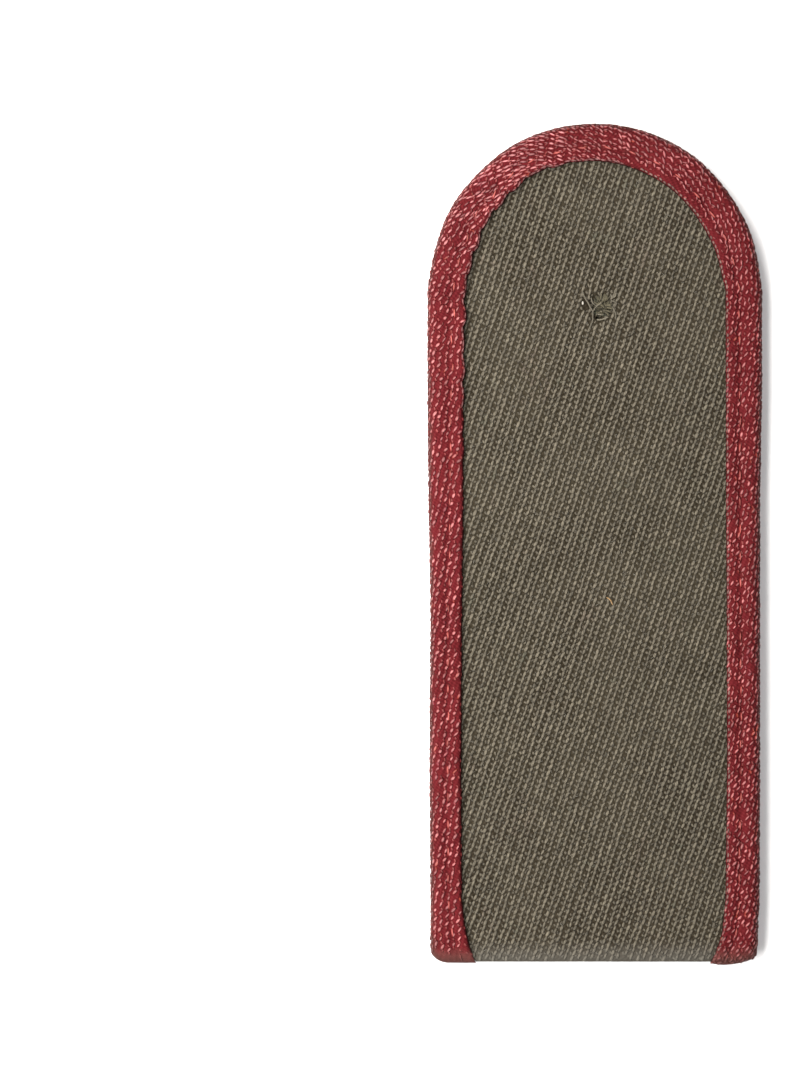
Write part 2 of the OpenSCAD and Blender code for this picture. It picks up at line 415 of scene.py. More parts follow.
def newGroup(name, inputs, outputs):
    group = bpy.data.node_groups.new(name, "ShaderNodeTree")
    for label, kind, value in inputs:
        socket = group.interface.new_socket(label, in_out="INPUT", socket_type="NodeSocket" + kind)
        if value is not None:
            socket.default_value = value
    for label, kind in outputs:
        group.interface.new_socket(label, in_out="OUTPUT", socket_type="NodeSocket" + kind)
    return group, group.nodes.new("NodeGroupInput").outputs, group.nodes.new("NodeGroupOutput").inputs


def buildFibres():
    # Fine twisted fibres along a float, from the float's own strand coordinates.
    inputs = [
        ("Strand", "Vector", None), ("Chance", "Float", 0.0),
        ("Fineness", "Float", 3.0), ("Twist", "Float", 0.6),
    ]
    group, given, out = newGroup("twisted fibres", inputs, [("Value", "Float")])
    parts = split(group, given["Strand"])
    twisted = calc(group, "ADD", parts["X"], calc(group, "MULTIPLY", parts["Y"], given["Twist"]))
    side = calc(group, "MULTIPLY", twisted, given["Fineness"])
    run = calc(group, "MULTIPLY", parts["Y"], 0.8)
    offset = calc(group, "MULTIPLY", given["Chance"], 37.0)
    noise = noiseOf(group, combine(group, side, run, offset), 3.0, 1.6)
    feed(group, out["Value"], rampValue(group, noise["Fac"], 0.3, 0.7))
    return group


def shaded(tree, colour, factor):
    # A colour made darker or lighter by a factor.
    return mixColour(tree, 1.0, colour, combine(tree, factor, factor, factor), "MULTIPLY")


def buildYarnToneAndLight():
    # A yarn gets painted shade where it dives under its neighbours and towards its ends, and a painted
    # highlight on its crown; each has its own tone.
    inputs = [
        ("Strand", "Vector", None), ("Chance", "Float", 0.0), ("Fibres", "Float", 0.5),
        ("Dark", "Color", (0, 0, 0, 1)), ("Middle", "Color", (0.2, 0.2, 0.2, 1)),
        ("Light", "Color", (1, 1, 1, 1)),
        ("Crown Start", "Float", 0.1), ("Tone Spread", "Float", 0.3), ("Fibre Depth", "Float", 0.3),
    ]
    group, given, out = newGroup("yarn tone, painted shade and highlight", inputs, [("Color", "Color")])
    parts = split(group, given["Strand"])
    ends = rampValue(group, calc(group, "ABSOLUTE", parts["Y"]), 0.35, 1.0, 0.0, 0.85)
    height = calc(group, "SUBTRACT", parts["Z"], ends)
    rise = rampValue(group, height, given["Crown Start"], 1.0)
    low = rampValue(group, height, -0.5, given["Crown Start"])
    ground = mixColour(group, low, given["Dark"], given["Middle"])
    colour = mixColour(group, rise, ground, given["Light"])
    tone = calc(group, "MULTIPLY", given["Chance"], given["Tone Spread"])
    grain = calc(group, "MULTIPLY", calc(group, "SUBTRACT", given["Fibres"], 0.5), given["Fibre Depth"])
    factor = calc(group, "ADD", 1.0, calc(group, "ADD", tone, grain))
    feed(group, out["Color"], shaded(group, colour, factor))
    return group


def buildPatches():
    # Slow drift over the piece: a value from 0 to 1 in patches of a given size, in metres.
    inputs = [
        ("Vector", "Vector", None), ("Size", "Float", 0.01), ("Detail", "Float", 2.0),
        ("From", "Float", 0.35), ("To", "Float", 0.65),
    ]
    group, given, out = newGroup("slow patches", inputs, [("Value", "Float")])
    scaled = scaleVector(group, given["Vector"], calc(group, "DIVIDE", 1.0, given["Size"]))
    noise = noiseOf(group, scaled, given["Detail"])
    feed(group, out["Value"], rampValue(group, noise["Fac"], given["From"], given["To"]))
    return group


def uneven(group, vector, axis, fineness, depth):
    # One coordinate of a place, made uneven by noise.
    noise = noiseOf(group, scaleVector(group, vector, fineness), 2.0)
    ragged = calc(group, "MULTIPLY", calc(group, "SUBTRACT", noise["Fac"], 0.5), depth)
    return calc(group, "ADD", split(group, vector)[axis], ragged)


def buildEndWear():
    # A mask that grows from 0 to 1 towards the worn straight end of the board.
    inputs = [("Vector", "Vector", None), ("Start", "Float", 0.0), ("End", "Float", -1.0)]
    group, given, out = newGroup("worn end", inputs, [("Value", "Float")])
    y = uneven(group, given["Vector"], "Y", 900.0, 0.0015)
    feed(group, out["Value"], rampValue(group, y, given["End"], given["Start"], 1.0, 0.0))
    return group


def buildEdgeShade():
    # A mask of painted shade that grows where a piece's edge falls away below its face, and fades again further
    # down.
    inputs = [
        ("Vector", "Vector", None), ("Clean Above", "Float", 0.0), ("Soiled Below", "Float", -1.0),
        ("Clean Below", "Float", -2.0),
    ]
    group, given, out = newGroup("edge painted shade", inputs, [("Value", "Float")])
    z = uneven(group, given["Vector"], "Z", 420.0, 0.0016)
    upper = rampValue(group, z, given["Soiled Below"], given["Clean Above"], 1.0, 0.0)
    lower = rampValue(group, z, given["Clean Below"], given["Soiled Below"])
    feed(group, out["Value"], calc(group, "MULTIPLY", upper, lower))
    return group


fibres = buildFibres()
yarnToneAndLight = buildYarnToneAndLight()
patches = buildPatches()
endWear = buildEndWear()
edgeShade = buildEdgeShade()


def placeGroup(tree, group, **inputs):
    made = tree.nodes.new("ShaderNodeGroup")
    made.node_tree = group
    for key, source in inputs.items():
        feed(tree, made.inputs[key.replace("_", " ")], source)
    return made.outputs


def startMaterial(name, **fixed):
    material = bpy.data.materials.new(name)
    material.use_nodes = True
    tree = material.node_tree
    shader = tree.nodes["Principled BSDF"]
    for key, value in fixed.items():
        shader.inputs[key.replace("_", " ")].default_value = value
    return material, tree, shader


def wornAndEdgeShaded(tree, look, place, colour):
    # The worn, dull end, and painted shade on the edge that falls away below the face. Also gives how worn each
    # place is.
    worn = placeGroup(
        tree, endWear, Vector=place, Start=look["wearStart"] * mm, End=look["wearEnd"] * mm)["Value"]
    colour = mixColour(tree, calc(tree, "MULTIPLY", worn, look["wearDepth"]), colour, look["wearColour"])
    # painted shade: the edge darkens where it turns down, away from the light
    soil = placeGroup(
        tree, edgeShade, Vector=place, Clean_Above=look["shadeTop"] * mm, Soiled_Below=look["shadeEnd"] * mm,
        Clean_Below=look["shadeLow"] * mm)["Value"]
    return mixColour(tree, calc(tree, "MULTIPLY", soil, look["soilDepth"]), colour, look["shadeColour"]), worn


def endMaterial(tree, shader, colour, rough, height, depth):
    feed(tree, shader.inputs["Base Color"], colour)
    feed(tree, shader.inputs["Roughness"], rough)
    bump = addNode(tree, "ShaderNodeBump", {"Height": height, "Distance": depth * mm, "Strength": 1.0})
    feed(tree, shader.inputs["Normal"], bump.outputs["Normal"])


yarnFinish = {
    "sheenRoughness": 0.5, "streakRoughness": 0.12, "wornRoughness": 0.2,
    "tintShift": 0.37, "tintFrom": 0.62, "tintTo": 0.72,
}


def yarnMaterial(name, look):
    # Material for woven floats; it reads the strand and chance attributes that the tree stores.
    material, tree, shader = startMaterial(
        name, Sheen_Weight=look["sheen"], Sheen_Roughness=yarnFinish["sheenRoughness"],
        Sheen_Tint=look["sheenTint"], Specular_IOR_Level=look["specular"])
    strand = addNode(tree, "ShaderNodeAttribute", attribute_name="strand").outputs["Vector"]
    chance = addNode(tree, "ShaderNodeAttribute", attribute_name="chance").outputs["Vector"]
    parts = split(tree, chance)
    place = addNode(tree, "ShaderNodeTexCoord").outputs["Object"]
    streaks = placeGroup(
        tree, fibres, Strand=strand, Chance=parts["Y"], Fineness=look["fineness"],
        Twist=look["twist"])["Value"]
    colour = placeGroup(
        tree, yarnToneAndLight, Strand=strand, Chance=parts["X"], Fibres=streaks, Dark=look["dark"],
        Middle=look["middle"], Light=look["light"], Crown_Start=look["crownStart"],
        Tone_Spread=look["toneSpread"], Fibre_Depth=look["fibreDepth"])["Color"]
    # patches of lighter and darker cloth
    drift = placeGroup(tree, patches, Vector=place, Size=look["patchSize"])["Value"]
    shade = rampValue(tree, drift, 0.0, 1.0, 1.0 - look["patchDepth"], 1.0 + look["patchDepth"])
    colour = shaded(tree, colour, shade)
    # floats of an odd shade, where chance and a patch meet
    for number, (tint, share, size, strength) in enumerate(look["tints"]):
        shifted = vectorCalc(tree, "ADD", place, (0.0, 0.0, yarnFinish["tintShift"] * (number + 1)))
        spot = placeGroup(
            tree, patches, Vector=shifted, Size=size, Detail=1.0, From=yarnFinish["tintFrom"] - share,
            To=yarnFinish["tintTo"] - share)["Value"]
        picked = calc(tree, "MULTIPLY", spot, rampValue(tree, parts["Z"], -0.2, 0.6))
        colour = mixColour(tree, calc(tree, "MULTIPLY", picked, strength), colour, tint)
    colour, worn = wornAndEdgeShaded(tree, look, place, colour)
    grain = calc(tree, "MULTIPLY", streaks, yarnFinish["streakRoughness"])
    rubbed = calc(tree, "MULTIPLY", worn, yarnFinish["wornRoughness"])
    rough = calc(tree, "ADD", calc(tree, "ADD", look["rough"], grain), rubbed, clamp=True)
    endMaterial(tree, shader, colour, rough, streaks, look["bump"])
    return material


def groundMaterial(name, look):
    # The dark ground between the floats: fine crossing threads on the cloth's own UV map. Its dark tones are
    # the cloth's own colour deepened as painted shade of the gaps under the floats.
    material, tree, shader = startMaterial(name, Specular_IOR_Level=0.1)
    cloth = addNode(tree, "ShaderNodeUVMap", uv_map="clothUv").outputs["UV"]
    place = addNode(tree, "ShaderNodeTexCoord").outputs["Object"]
    parts = split(tree, scaleVector(tree, cloth, uvSpan / look["pitch"] * 2 * math.pi))
    slanted = calc(tree, "MULTIPLY", parts["Y"], look["slant"])
    warp = calc(tree, "SINE", calc(tree, "SUBTRACT", parts["X"], slanted))
    weft = calc(tree, "SINE", parts["Y"])
    threads = rampValue(tree, calc(tree, "MULTIPLY", warp, weft), -1.0, 1.0)
    drift = placeGroup(tree, patches, Vector=place, Size=look["patchSize"])["Value"]
    colour = mixColour(tree, threads, look["dark"], look["middle"])
    colour = mixColour(tree, calc(tree, "MULTIPLY", drift, 0.4), colour, look["light"])
    colour, worn = wornAndEdgeShaded(tree, look, place, colour)
    endMaterial(tree, shader, colour, rampValue(tree, threads, 0.0, 1.0, 0.95, 0.8), threads, 0.05)
    return material


# The braid.

braid = {
    "faceWidth": 4.8, "thickness": 1.0, "noseReach": 1.4, "pocketHalf": 1.0,
    "groundDrop": 0.12,  # how far the ground lies under the crowns of the floats
    "endDrop": 0.02, "endBare": {leftSide: 2.6, rightSide: 1.0},
    "edgeRound": 0.5, "roundSteps": 4, "lipHeight": 1.2,
    "seamInset": 1.9, "seamDip": 0.3, "seamHalf": 0.5, "stitchPitch": 3.6,
    "gatherDepth": 0.50, "gatherPuff": 0.20, "gatherStop": 0.31,
    "gatherSkew": 0.72, "gatherPeak": 1.2, "gatherUneven": 0.25, "gatherDrift": 2.4,
    "dipLeast": 0.65, "dipMore": 0.5,
    "sideWave": 0.10, "tuck": 3.0,
    "innerCorner": 0.65,  # where on the face, in shares of its width, the inner corner begins to rise
    "turnPerLength": 2.5,  # degrees that one millimetre of the sides counts as in the tables below
    "fineStep": 0.36, "plainStep": 0.8, "rollSteps": 12, "faceSteps": 13, "noseSteps": 16,
    # drop, half width left and right (of the arch's radius), face left and right (of faceWidth), gather
    "sideRows": [
        (0.000, 1.000, 1.000, 1.03, 1.05, 1.0), (0.150, 1.000, 1.000, 0.99, 1.04, 0.7),
        (0.310, 0.994, 0.988, 0.98, 0.98, 0.0), (0.460, 0.982, 0.988, 0.89, 0.96, 0.0),
        (0.700, 0.988, 0.988, 0.89, 0.95, 0.0), (0.900, 0.982, 0.985, 0.88, 0.98, 0.0),
        (0.950, 0.982, 0.976, 0.99, 1.03, 0.0), (0.975, 0.984, 0.972, 1.14, 1.15, 0.0),
        (1.000, 0.982, 0.966, 1.34, 1.32, 0.0),
    ],
    # turn from the tip to the sides, face left and right, gather
    "archRows": [
        (0.0, 1.07, 1.07, 0.2), (0.3, 0.99, 1.14, 0.8), (0.5, 1.02, 1.15, 1.0),
        (0.7, 1.06, 1.15, 1.0), (0.9, 1.06, 1.10, 1.0), (1.0, 1.03, 1.05, 1.0),
    ],
    # lift, corner across, corner along, inner corner, in shares of thickness, faceWidth, tuck and tuck
    "ends": {leftSide: (0.3, 0.55, 0.66, 0.0), rightSide: (0.0, 1.08, 0.54, 0.10)},
    # where the arch is drawn in a little: how far in, at what angle above its foot, over what spread
    "drawnIn": {
        leftSide: [(0.30, 15.0, 16.0), (0.20, 44.0, 12.0)],
        rightSide: [(0.18, 6.0, 16.0), (0.18, 34.0, 13.0)],
    },
    # a plain band without strokes along the inner edge: degrees from the left foot of the arch, width
    "plainBand": [
        (-10.0, 0.40), (15.0, 0.45), (60.0, 0.45), (80.0, 0.25), (98.0, 0.15), (110.0, 0.8), (125.0, 1.15),
        (160.0, 1.1), (180.0, 0.7), (200.0, 0.15),
    ],
    # how the weave's lattice changes round the board: degrees from the left foot of the arch, then the step
    # from one column to the next and the step from one row to the next, each across and along the braid
    "weaveRows": [
        (-200.0, 0.76, 0.36, -0.22, 1.14), (-150.0, 0.74, 0.48, -0.24, 1.14), (0.0, 0.72, 0.50, -0.25, 1.16),
        (20.0, 0.67, 0.40, -0.25, 1.20), (45.0, 0.57, 0.30, -0.23, 1.23), (75.0, 0.57, 0.22, -0.22, 1.28),
        (90.0, 0.64, 0.08, -0.24, 1.34), (110.0, 0.75, -0.22, -0.24, 1.37), (135.0, 0.81, -0.52, -0.24, 1.40),
        (165.0, 0.78, -0.56, -0.28, 1.42), (195.0, 0.74, -0.66, -0.22, 1.36),
        (260.0, 0.76, -0.80, -0.22, 1.29), (400.0, 0.77, -0.80, -0.23, 1.29),
    ],
    # how the strokes turn away from their usual lean: degrees from the left foot, at the inner edge, outside
    "leanRows": [
        (-20.0, 0.0, 0.0), (8.0, 2.0, 0.0), (28.0, 14.0, 2.0), (50.0, 24.0, 10.0), (62.0, 12.0, 4.0),
        (75.0, -8.0, -9.0), (95.0, -9.0, -9.0), (115.0, -6.0, -6.0), (130.0, 5.0, 5.0), (155.0, 6.0, 6.0),
        (180.0, 5.0, 5.0), (200.0, 0.0, 0.0),
    ],
    "weavePitch": (0.70, 1.20),  # what one column and one row measure on the weave's own map
}


def dropAt(y):
    return (archY - y) / sideLength


def halfWidth(side, y):
    return archRadius * readRow(braid["sideRows"], 1 if side == leftSide else 2, dropAt(y))


def faceWidth(side, y):
    return braid["faceWidth"] * readRow(braid["sideRows"], 3 if side == leftSide else 4, dropAt(y))


def archFace(angle):
    return braid["faceWidth"] * readRow(braid["archRows"], 1 if angle > 90 else 2, abs(angle - 90) / 90)


def tuckY(side):
    return bottomY + braid["ends"][side][0] * braid["thickness"] + braid["tuck"]


def cornerLift(side, inward):
    across = braid["ends"][side][1] * braid["faceWidth"]
    slack = 1 - min(max(inward, 0) / across, 1)
    outer = braid["ends"][side][2] * braid["tuck"] * (1 - math.sqrt(1 - slack * slack))
    start = braid["innerCorner"]
    near = max(0.0, inward / faceWidth(side, bottomY) - start) / (1 - start)
    return outer + braid["ends"][side][3] * braid["tuck"] * near * near


def gatherShape(phase):
    return math.sin(math.pi * (phase % 1.0) ** braid["gatherSkew"]) ** braid["gatherPeak"]


def braidStations():
    # Where the braid has its rings, from the left end over the arch to the right end.
    stations = []
    for step in range(braid["rollSteps"], 0, -1):
        stations.append({"side": leftSide, "y": tuckY(leftSide), "roll": step / braid["rollSteps"]})
    y = tuckY(leftSide)
    gatherY = archY - braid["gatherStop"] * sideLength
    while y < archY - 0.1:
        stations.append({"side": leftSide, "y": y, "roll": 0})
        y += braid["plainStep"] if y < gatherY else braid["fineStep"]
    fineAngles = round(90 / math.degrees(braid["fineStep"] / archRadius))
    plainAngles = round(90 / math.degrees(braid["plainStep"] / archRadius))
    angles = [180 - 90 * i / fineAngles for i in range(fineAngles)]
    angles += [90 - 90 * i / plainAngles for i in range(plainAngles)]
    stations += [{"angle": angle} for angle in angles]
    rows = round((archY - tuckY(rightSide)) / braid["plainStep"])
    for i in range(rows + 1):
        stations.append({"side": rightSide, "y": archY + (tuckY(rightSide) - archY) * i / rows, "roll": 0})
    for step in range(1, braid["rollSteps"] + 1):
        stations.append({"side": rightSide, "y": tuckY(rightSide), "roll": step / braid["rollSteps"]})
    return stations


def stationWidth(station):
    if "angle" in station:
        return archFace(station["angle"])
    down = math.sin(math.pi / 2 * station["roll"])
    return faceWidth(station["side"], station["y"] - braid["tuck"] * down)


def stationTurn(station):
    # Degrees from the left foot of the arch, which go on below both of its feet.
    if "angle" in station:
        return 180 - station["angle"]
    below = braid["turnPerLength"] * (archY - station["y"])
    return -below if station["side"] == leftSide else 180 + below


def weaveMap(turns, runs):
    # Column and row numbers of the weave: for each station their values in the middle of the face, and how
    # fast they grow across the braid. They follow from the two steps, turned from lengths into counts.
    columnAcross, columnAlong, rowAcross, rowAlong = [
        np.array([readRow(braid["weaveRows"], key, turn) for turn in turns]) for key in (1, 2, 3, 4)]
    area = columnAcross * rowAlong - rowAcross * columnAlong
    growth = np.stack([rowAlong / area, -columnAlong / area], axis=1)
    drift = np.stack([-rowAcross / area, columnAcross / area], axis=1)
    steps = (drift[1:] + drift[:-1]) / 2 * np.diff(runs)[:, None]
    return np.concatenate([np.zeros((1, 2)), np.cumsum(steps, axis=0)]), growth


def onBraid(station, inward, height):
    if "angle" in station:
        angle = math.radians(station["angle"])
        above = 90 - abs(station["angle"] - 90)
        fade = min(above / 6, 1)
        reach = archRadius - inward
        for most, middle, wide in braid["drawnIn"][leftSide if station["angle"] > 90 else rightSide]:
            reach -= most * fade * math.exp(-((above - middle) / wide) ** 2)
        return (reach * math.cos(angle), archY + reach * math.sin(angle), midZ + height)
    side, y, roll = station["side"], station["y"], station["roll"]
    down, flat = math.sin(math.pi / 2 * roll), math.cos(math.pi / 2 * roll)
    half = halfWidth(side, y - braid["tuck"] * down)
    if roll:
        y -= (braid["tuck"] - braid["endDrop"] - cornerLift(side, inward)) * down
    return (side * (half - inward), y, midZ + height * (flat if roll < 1 else 0))


def pocketPoints(station, gather):
    # The pocket that the board's edge sits in, as four points of a ring.
    depth = braid["pocketHalf"]
    flat = 1.0
    if station.get("roll"):
        turn = math.pi / 2 * station["roll"]
        flat = math.cos(turn) if station["roll"] < 1 else 0.0
        station = {**station, "y": station["y"] - depth / 2 * math.sin(turn), "roll": 0}
    wide = stationWidth(station)
    thick = braid["thickness"]
    corners = [(wide, -depth), (thick, -depth), (thick, depth), (wide + gather, depth)]
    return [onBraid(station, inward, height * flat) for inward, height in corners]


def braidProfile(width, gather, puff, dip):
    # The outer skin from the inner edge over the outer edge to the underside: distance in, height.
    top = (braidHigh.z - midZ) - braid["groundDrop"]
    wide = width + gather - braid["groundDrop"]
    rounding = braid["edgeRound"]
    nose, reach = braid["noseReach"], braid["noseReach"] - braid["groundDrop"]

    def half(wide, dip, puff):
        points = [(wide, braid["lipHeight"])]
        for i in range(braid["roundSteps"] + 1):
            turn = math.pi / 2 * i / braid["roundSteps"]
            rise = top - rounding * (1 - math.sin(turn)) + puff * i / braid["roundSteps"]
            points.append((wide - rounding * (1 - math.cos(turn)), rise))
        for i in range(1, braid["faceSteps"]):
            inward = (wide - rounding) + (nose - wide + rounding) * i / braid["faceSteps"]
            away = (wide - inward) - braid["seamInset"] + braid["groundDrop"]
            groove = dip * math.exp(-(away / braid["seamHalf"]) ** 2)
            swell = puff * max(0.0, 1 - (wide - inward) / braid["seamInset"])
            points.append((inward, top - groove + swell))
        return points

    upper = half(wide, dip, puff)
    lower = half(width - braid["groundDrop"], dip, 0.0)
    turns = [math.pi * i / braid["noseSteps"] for i in range(braid["noseSteps"] + 1)]
    rounded = [(nose - reach * math.sin(turn), top * math.cos(turn)) for turn in turns]
    return upper + rounded + [(inward, -height) for inward, height in reversed(lower)]


def makeBraidGround(material):
    stations = braidStations()
    # distance along the middle of the face, from the left end
    middles = np.array([onBraid(s, stationWidth(s) / 2, braidHigh.z - midZ) for s in stations])
    runs = np.concatenate([[0.0], np.cumsum(np.linalg.norm(np.diff(middles, axis=0), axis=1))])
    grid, flats, bands = [], [], []
    for station, run in zip(stations, runs):
        if "angle" in station:
            turn = abs(station["angle"] - 90) / 90
            share = readRow(braid["archRows"], 3, turn) if station["angle"] > 90 else 0.0
        else:
            drop = dropAt(station["y"])
            share = readRow(braid["sideRows"], 5, drop) if station["side"] == leftSide else 0.0
        # every stitch of the seam draws the inner edge into a gather, most of all round the left of the arch
        stitchTurn = run / braid["stitchPitch"]
        most = braid["gatherUneven"]
        strength = 1 - most + most * math.sin(math.floor(stitchTurn) * braid["gatherDrift"])
        shape = gatherShape(stitchTurn) * share * strength
        gather = braid["gatherDepth"] * shape
        puff = braid["gatherPuff"] * shape
        if station.get("side") == leftSide and not station["roll"]:
            gather += braid["sideWave"] * gatherShape(stitchTurn) * strength * (1 - share)
        stitch = 0.5 + 0.5 * math.cos(2 * math.pi * stitchTurn)
        dip = braid["seamDip"] * (braid["dipLeast"] + braid["dipMore"] * stitch)
        profile = braidProfile(stationWidth(station), gather, puff, dip)
        skin = [onBraid(station, inward, height) for inward, height in profile]
        grid.append(skin + pocketPoints(station, gather))
        lengths = np.linalg.norm(np.diff(np.array(profile), axis=0), axis=1)
        flats.append([(across, run) for across in np.concatenate([[0.0], np.cumsum(lengths)])])
        # how far each point of the face lies beyond the plain band
        edge, bare = stationWidth(station) + gather, readRow(braid["plainBand"], 1, stationTurn(station))
        bands.append([max(edge - inward - bare, -0.4) if height > 1.0 else 1.0 for inward, height in profile])
        bands[-1] += [1.0] * 4
    grid = np.array(grid)
    rows, ring = grid.shape[:2]
    skinCount = ring - 4
    turns = [stationTurn(station) for station in stations]
    counts, growth = weaveMap(turns, runs)
    weaves = []
    for i in range(rows):
        beyond = [flat[0] - braid["faceWidth"] / 2 for flat in flats[i]]
        weaves.append([tuple((counts[i] + growth[i] * away) * braid["weavePitch"]) for away in beyond])
    faces, cornerUv, weaveUv = [], [], []
    for j, corners in ringFaces(rows, ring):
        faces.append([a * ring + b for a, b in corners])
        onSkin = j < skinCount - 1
        cornerUv += [flats[a][b] if onSkin else offMap for a, b in corners]
        weaveUv += [weaves[a][b] if onSkin else offWeave for a, b in corners]
    # the strokes turn where the arch is gathered
    along = rowDirections(grid)
    outward = np.gradient(grid, axis=1)
    outward /= np.maximum(np.linalg.norm(outward, axis=2, keepdims=True), 1e-9)
    shear = np.zeros((rows, ring, 1))
    for i, turn in enumerate(turns):
        inside, outside = [math.radians(readRow(braid["leanRows"], key, turn)) for key in (1, 2)]
        for j in range(skinCount):
            share = min(flats[i][j][0] / braid["faceWidth"], 1)
            shear[i, j, 0] = inside * (1 - share) + outside * share
    along = along * np.cos(shear) + outward * np.sin(shear)
    # the gap tells the floats how far the smooth, turned-under ends and the plain band are
    gap = np.minimum(runs - braid["endBare"][leftSide], runs[-1] - braid["endBare"][rightSide] - runs)
    gap = np.minimum(np.repeat(gap, ring), np.array(bands).ravel())
    obj = makeGround("braid_ground", material, grid, faces, cornerUv, along, gap, weaveUv)
    widths = [row[-1][0] for row in flats]
    print("braid run", round(runs[-1], 1), "across", round(max(widths), 2))
    # the lattice that covers the whole map, and the row that crosses the middle of the face at each turn
    corners = np.array([row[edge] for row in weaves for edge in (0, -1)]) / braid["weavePitch"]
    lattice = {
        "low": np.floor(corners.min(axis=0)).astype(int), "high": np.ceil(corners.max(axis=0)).astype(int),
        "turns": turns, "rows": counts[:, 1],
    }
    return obj, runs[-1], sum(widths) / len(widths), lattice


# The cloth-covered board.

board = {
    "pocketReach": 1.1,  # how far the board's edge stops short of the braid's outer edge
    "endGap": -0.05, "groundDrop": 0.12, "foldDrop": 0.03,
    "coarseStep": 1.2, "fineStep": 0.3, "fineReach": 3.6, "foldSteps": 8, "archSteps": 34,
    "puckerReach": 2.4, "puckerDepth": 0.42, "sag": 0.05,
    "holeRadius": 0.90, "holeRaggedness": 0.16, "holeSides": 18,
    # ovals without floats: place from the hole's middle, half width, half height
    "torn": [(0.45, -0.35, 1.15, 1.50), (-0.15, -1.85, 0.75, 0.62), (-1.72, -0.35, 0.46, 0.62),
             (-0.60, 1.55, 0.38, 0.72)],
    # the cloth's floats stop where the gap falls under -0.5: 2 mm under the tongue's edge, and at an oval's rim
    "underTongue": 1.5, "tornStop": 1.5,
    "pitPlace": (-0.12, -1.86), "pitRadius": 0.27, "pitBottom": 2.1, "pitRaggedness": 0.25,
    # how the twill's yarns are dragged towards the hole: how far round it, how much, how much more from
    # above, in how many lobes and how deep these are, and the most in shares of a yarn's distance
    "dragReach": 2.2, "drag": 0.35, "dragAbove": 0.5, "dragLobes": 5, "dragUneven": 0.35, "dragMost": 0.6,
}


def boardEdge(side, y):
    if y > archY:
        reach = archRadius - board["pocketReach"]
        return math.sqrt(max(reach * reach - (y - archY) ** 2, 0.0))
    if y > tuckY(side):
        return halfWidth(side, y) - board["pocketReach"]
    return halfWidth(side, y) - faceWidth(side, y) - board["endGap"]


def clothGap(x, y):
    # How far a point of the board lies inside the braid's inner edge.
    if y > archY:
        angle = math.degrees(math.atan2(y - archY, x))
        return archRadius - archFace(angle) - math.hypot(x, y - archY)
    side = leftSide if x < 0 else rightSide
    return halfWidth(side, y) - faceWidth(side, y) - abs(x)


def tornGap(x, y):
    # Falls below -0.5 over the ovals where the twill round the button hole is torn away.
    least = 10.0
    for placeX, placeY, wide, high in board["torn"]:
        across = (x - holeX - placeX) / wide
        up = (y - holeY - placeY) / high
        least = min(least, math.hypot(across, up) - board["tornStop"])
    return least


def tongueGap(x, y):
    # How far a point lies outside the tongue's outline.
    half = (tongueHigh.x - tongueLow.x) / 2
    if y > tongueHigh.y - half:
        return math.hypot(x, y - (tongueHigh.y - half)) - half
    return max(abs(x) - half, tongueLow.y - y)


def spread(low, high, coarse, fine, centre, reach):
    # Steps from low to high that are finer round a centre.
    places, place = [low], low
    while place < high - 1e-6:
        place = min(place + (fine if abs(place + fine - centre) < reach else coarse), high)
        places.append(place)
    return places


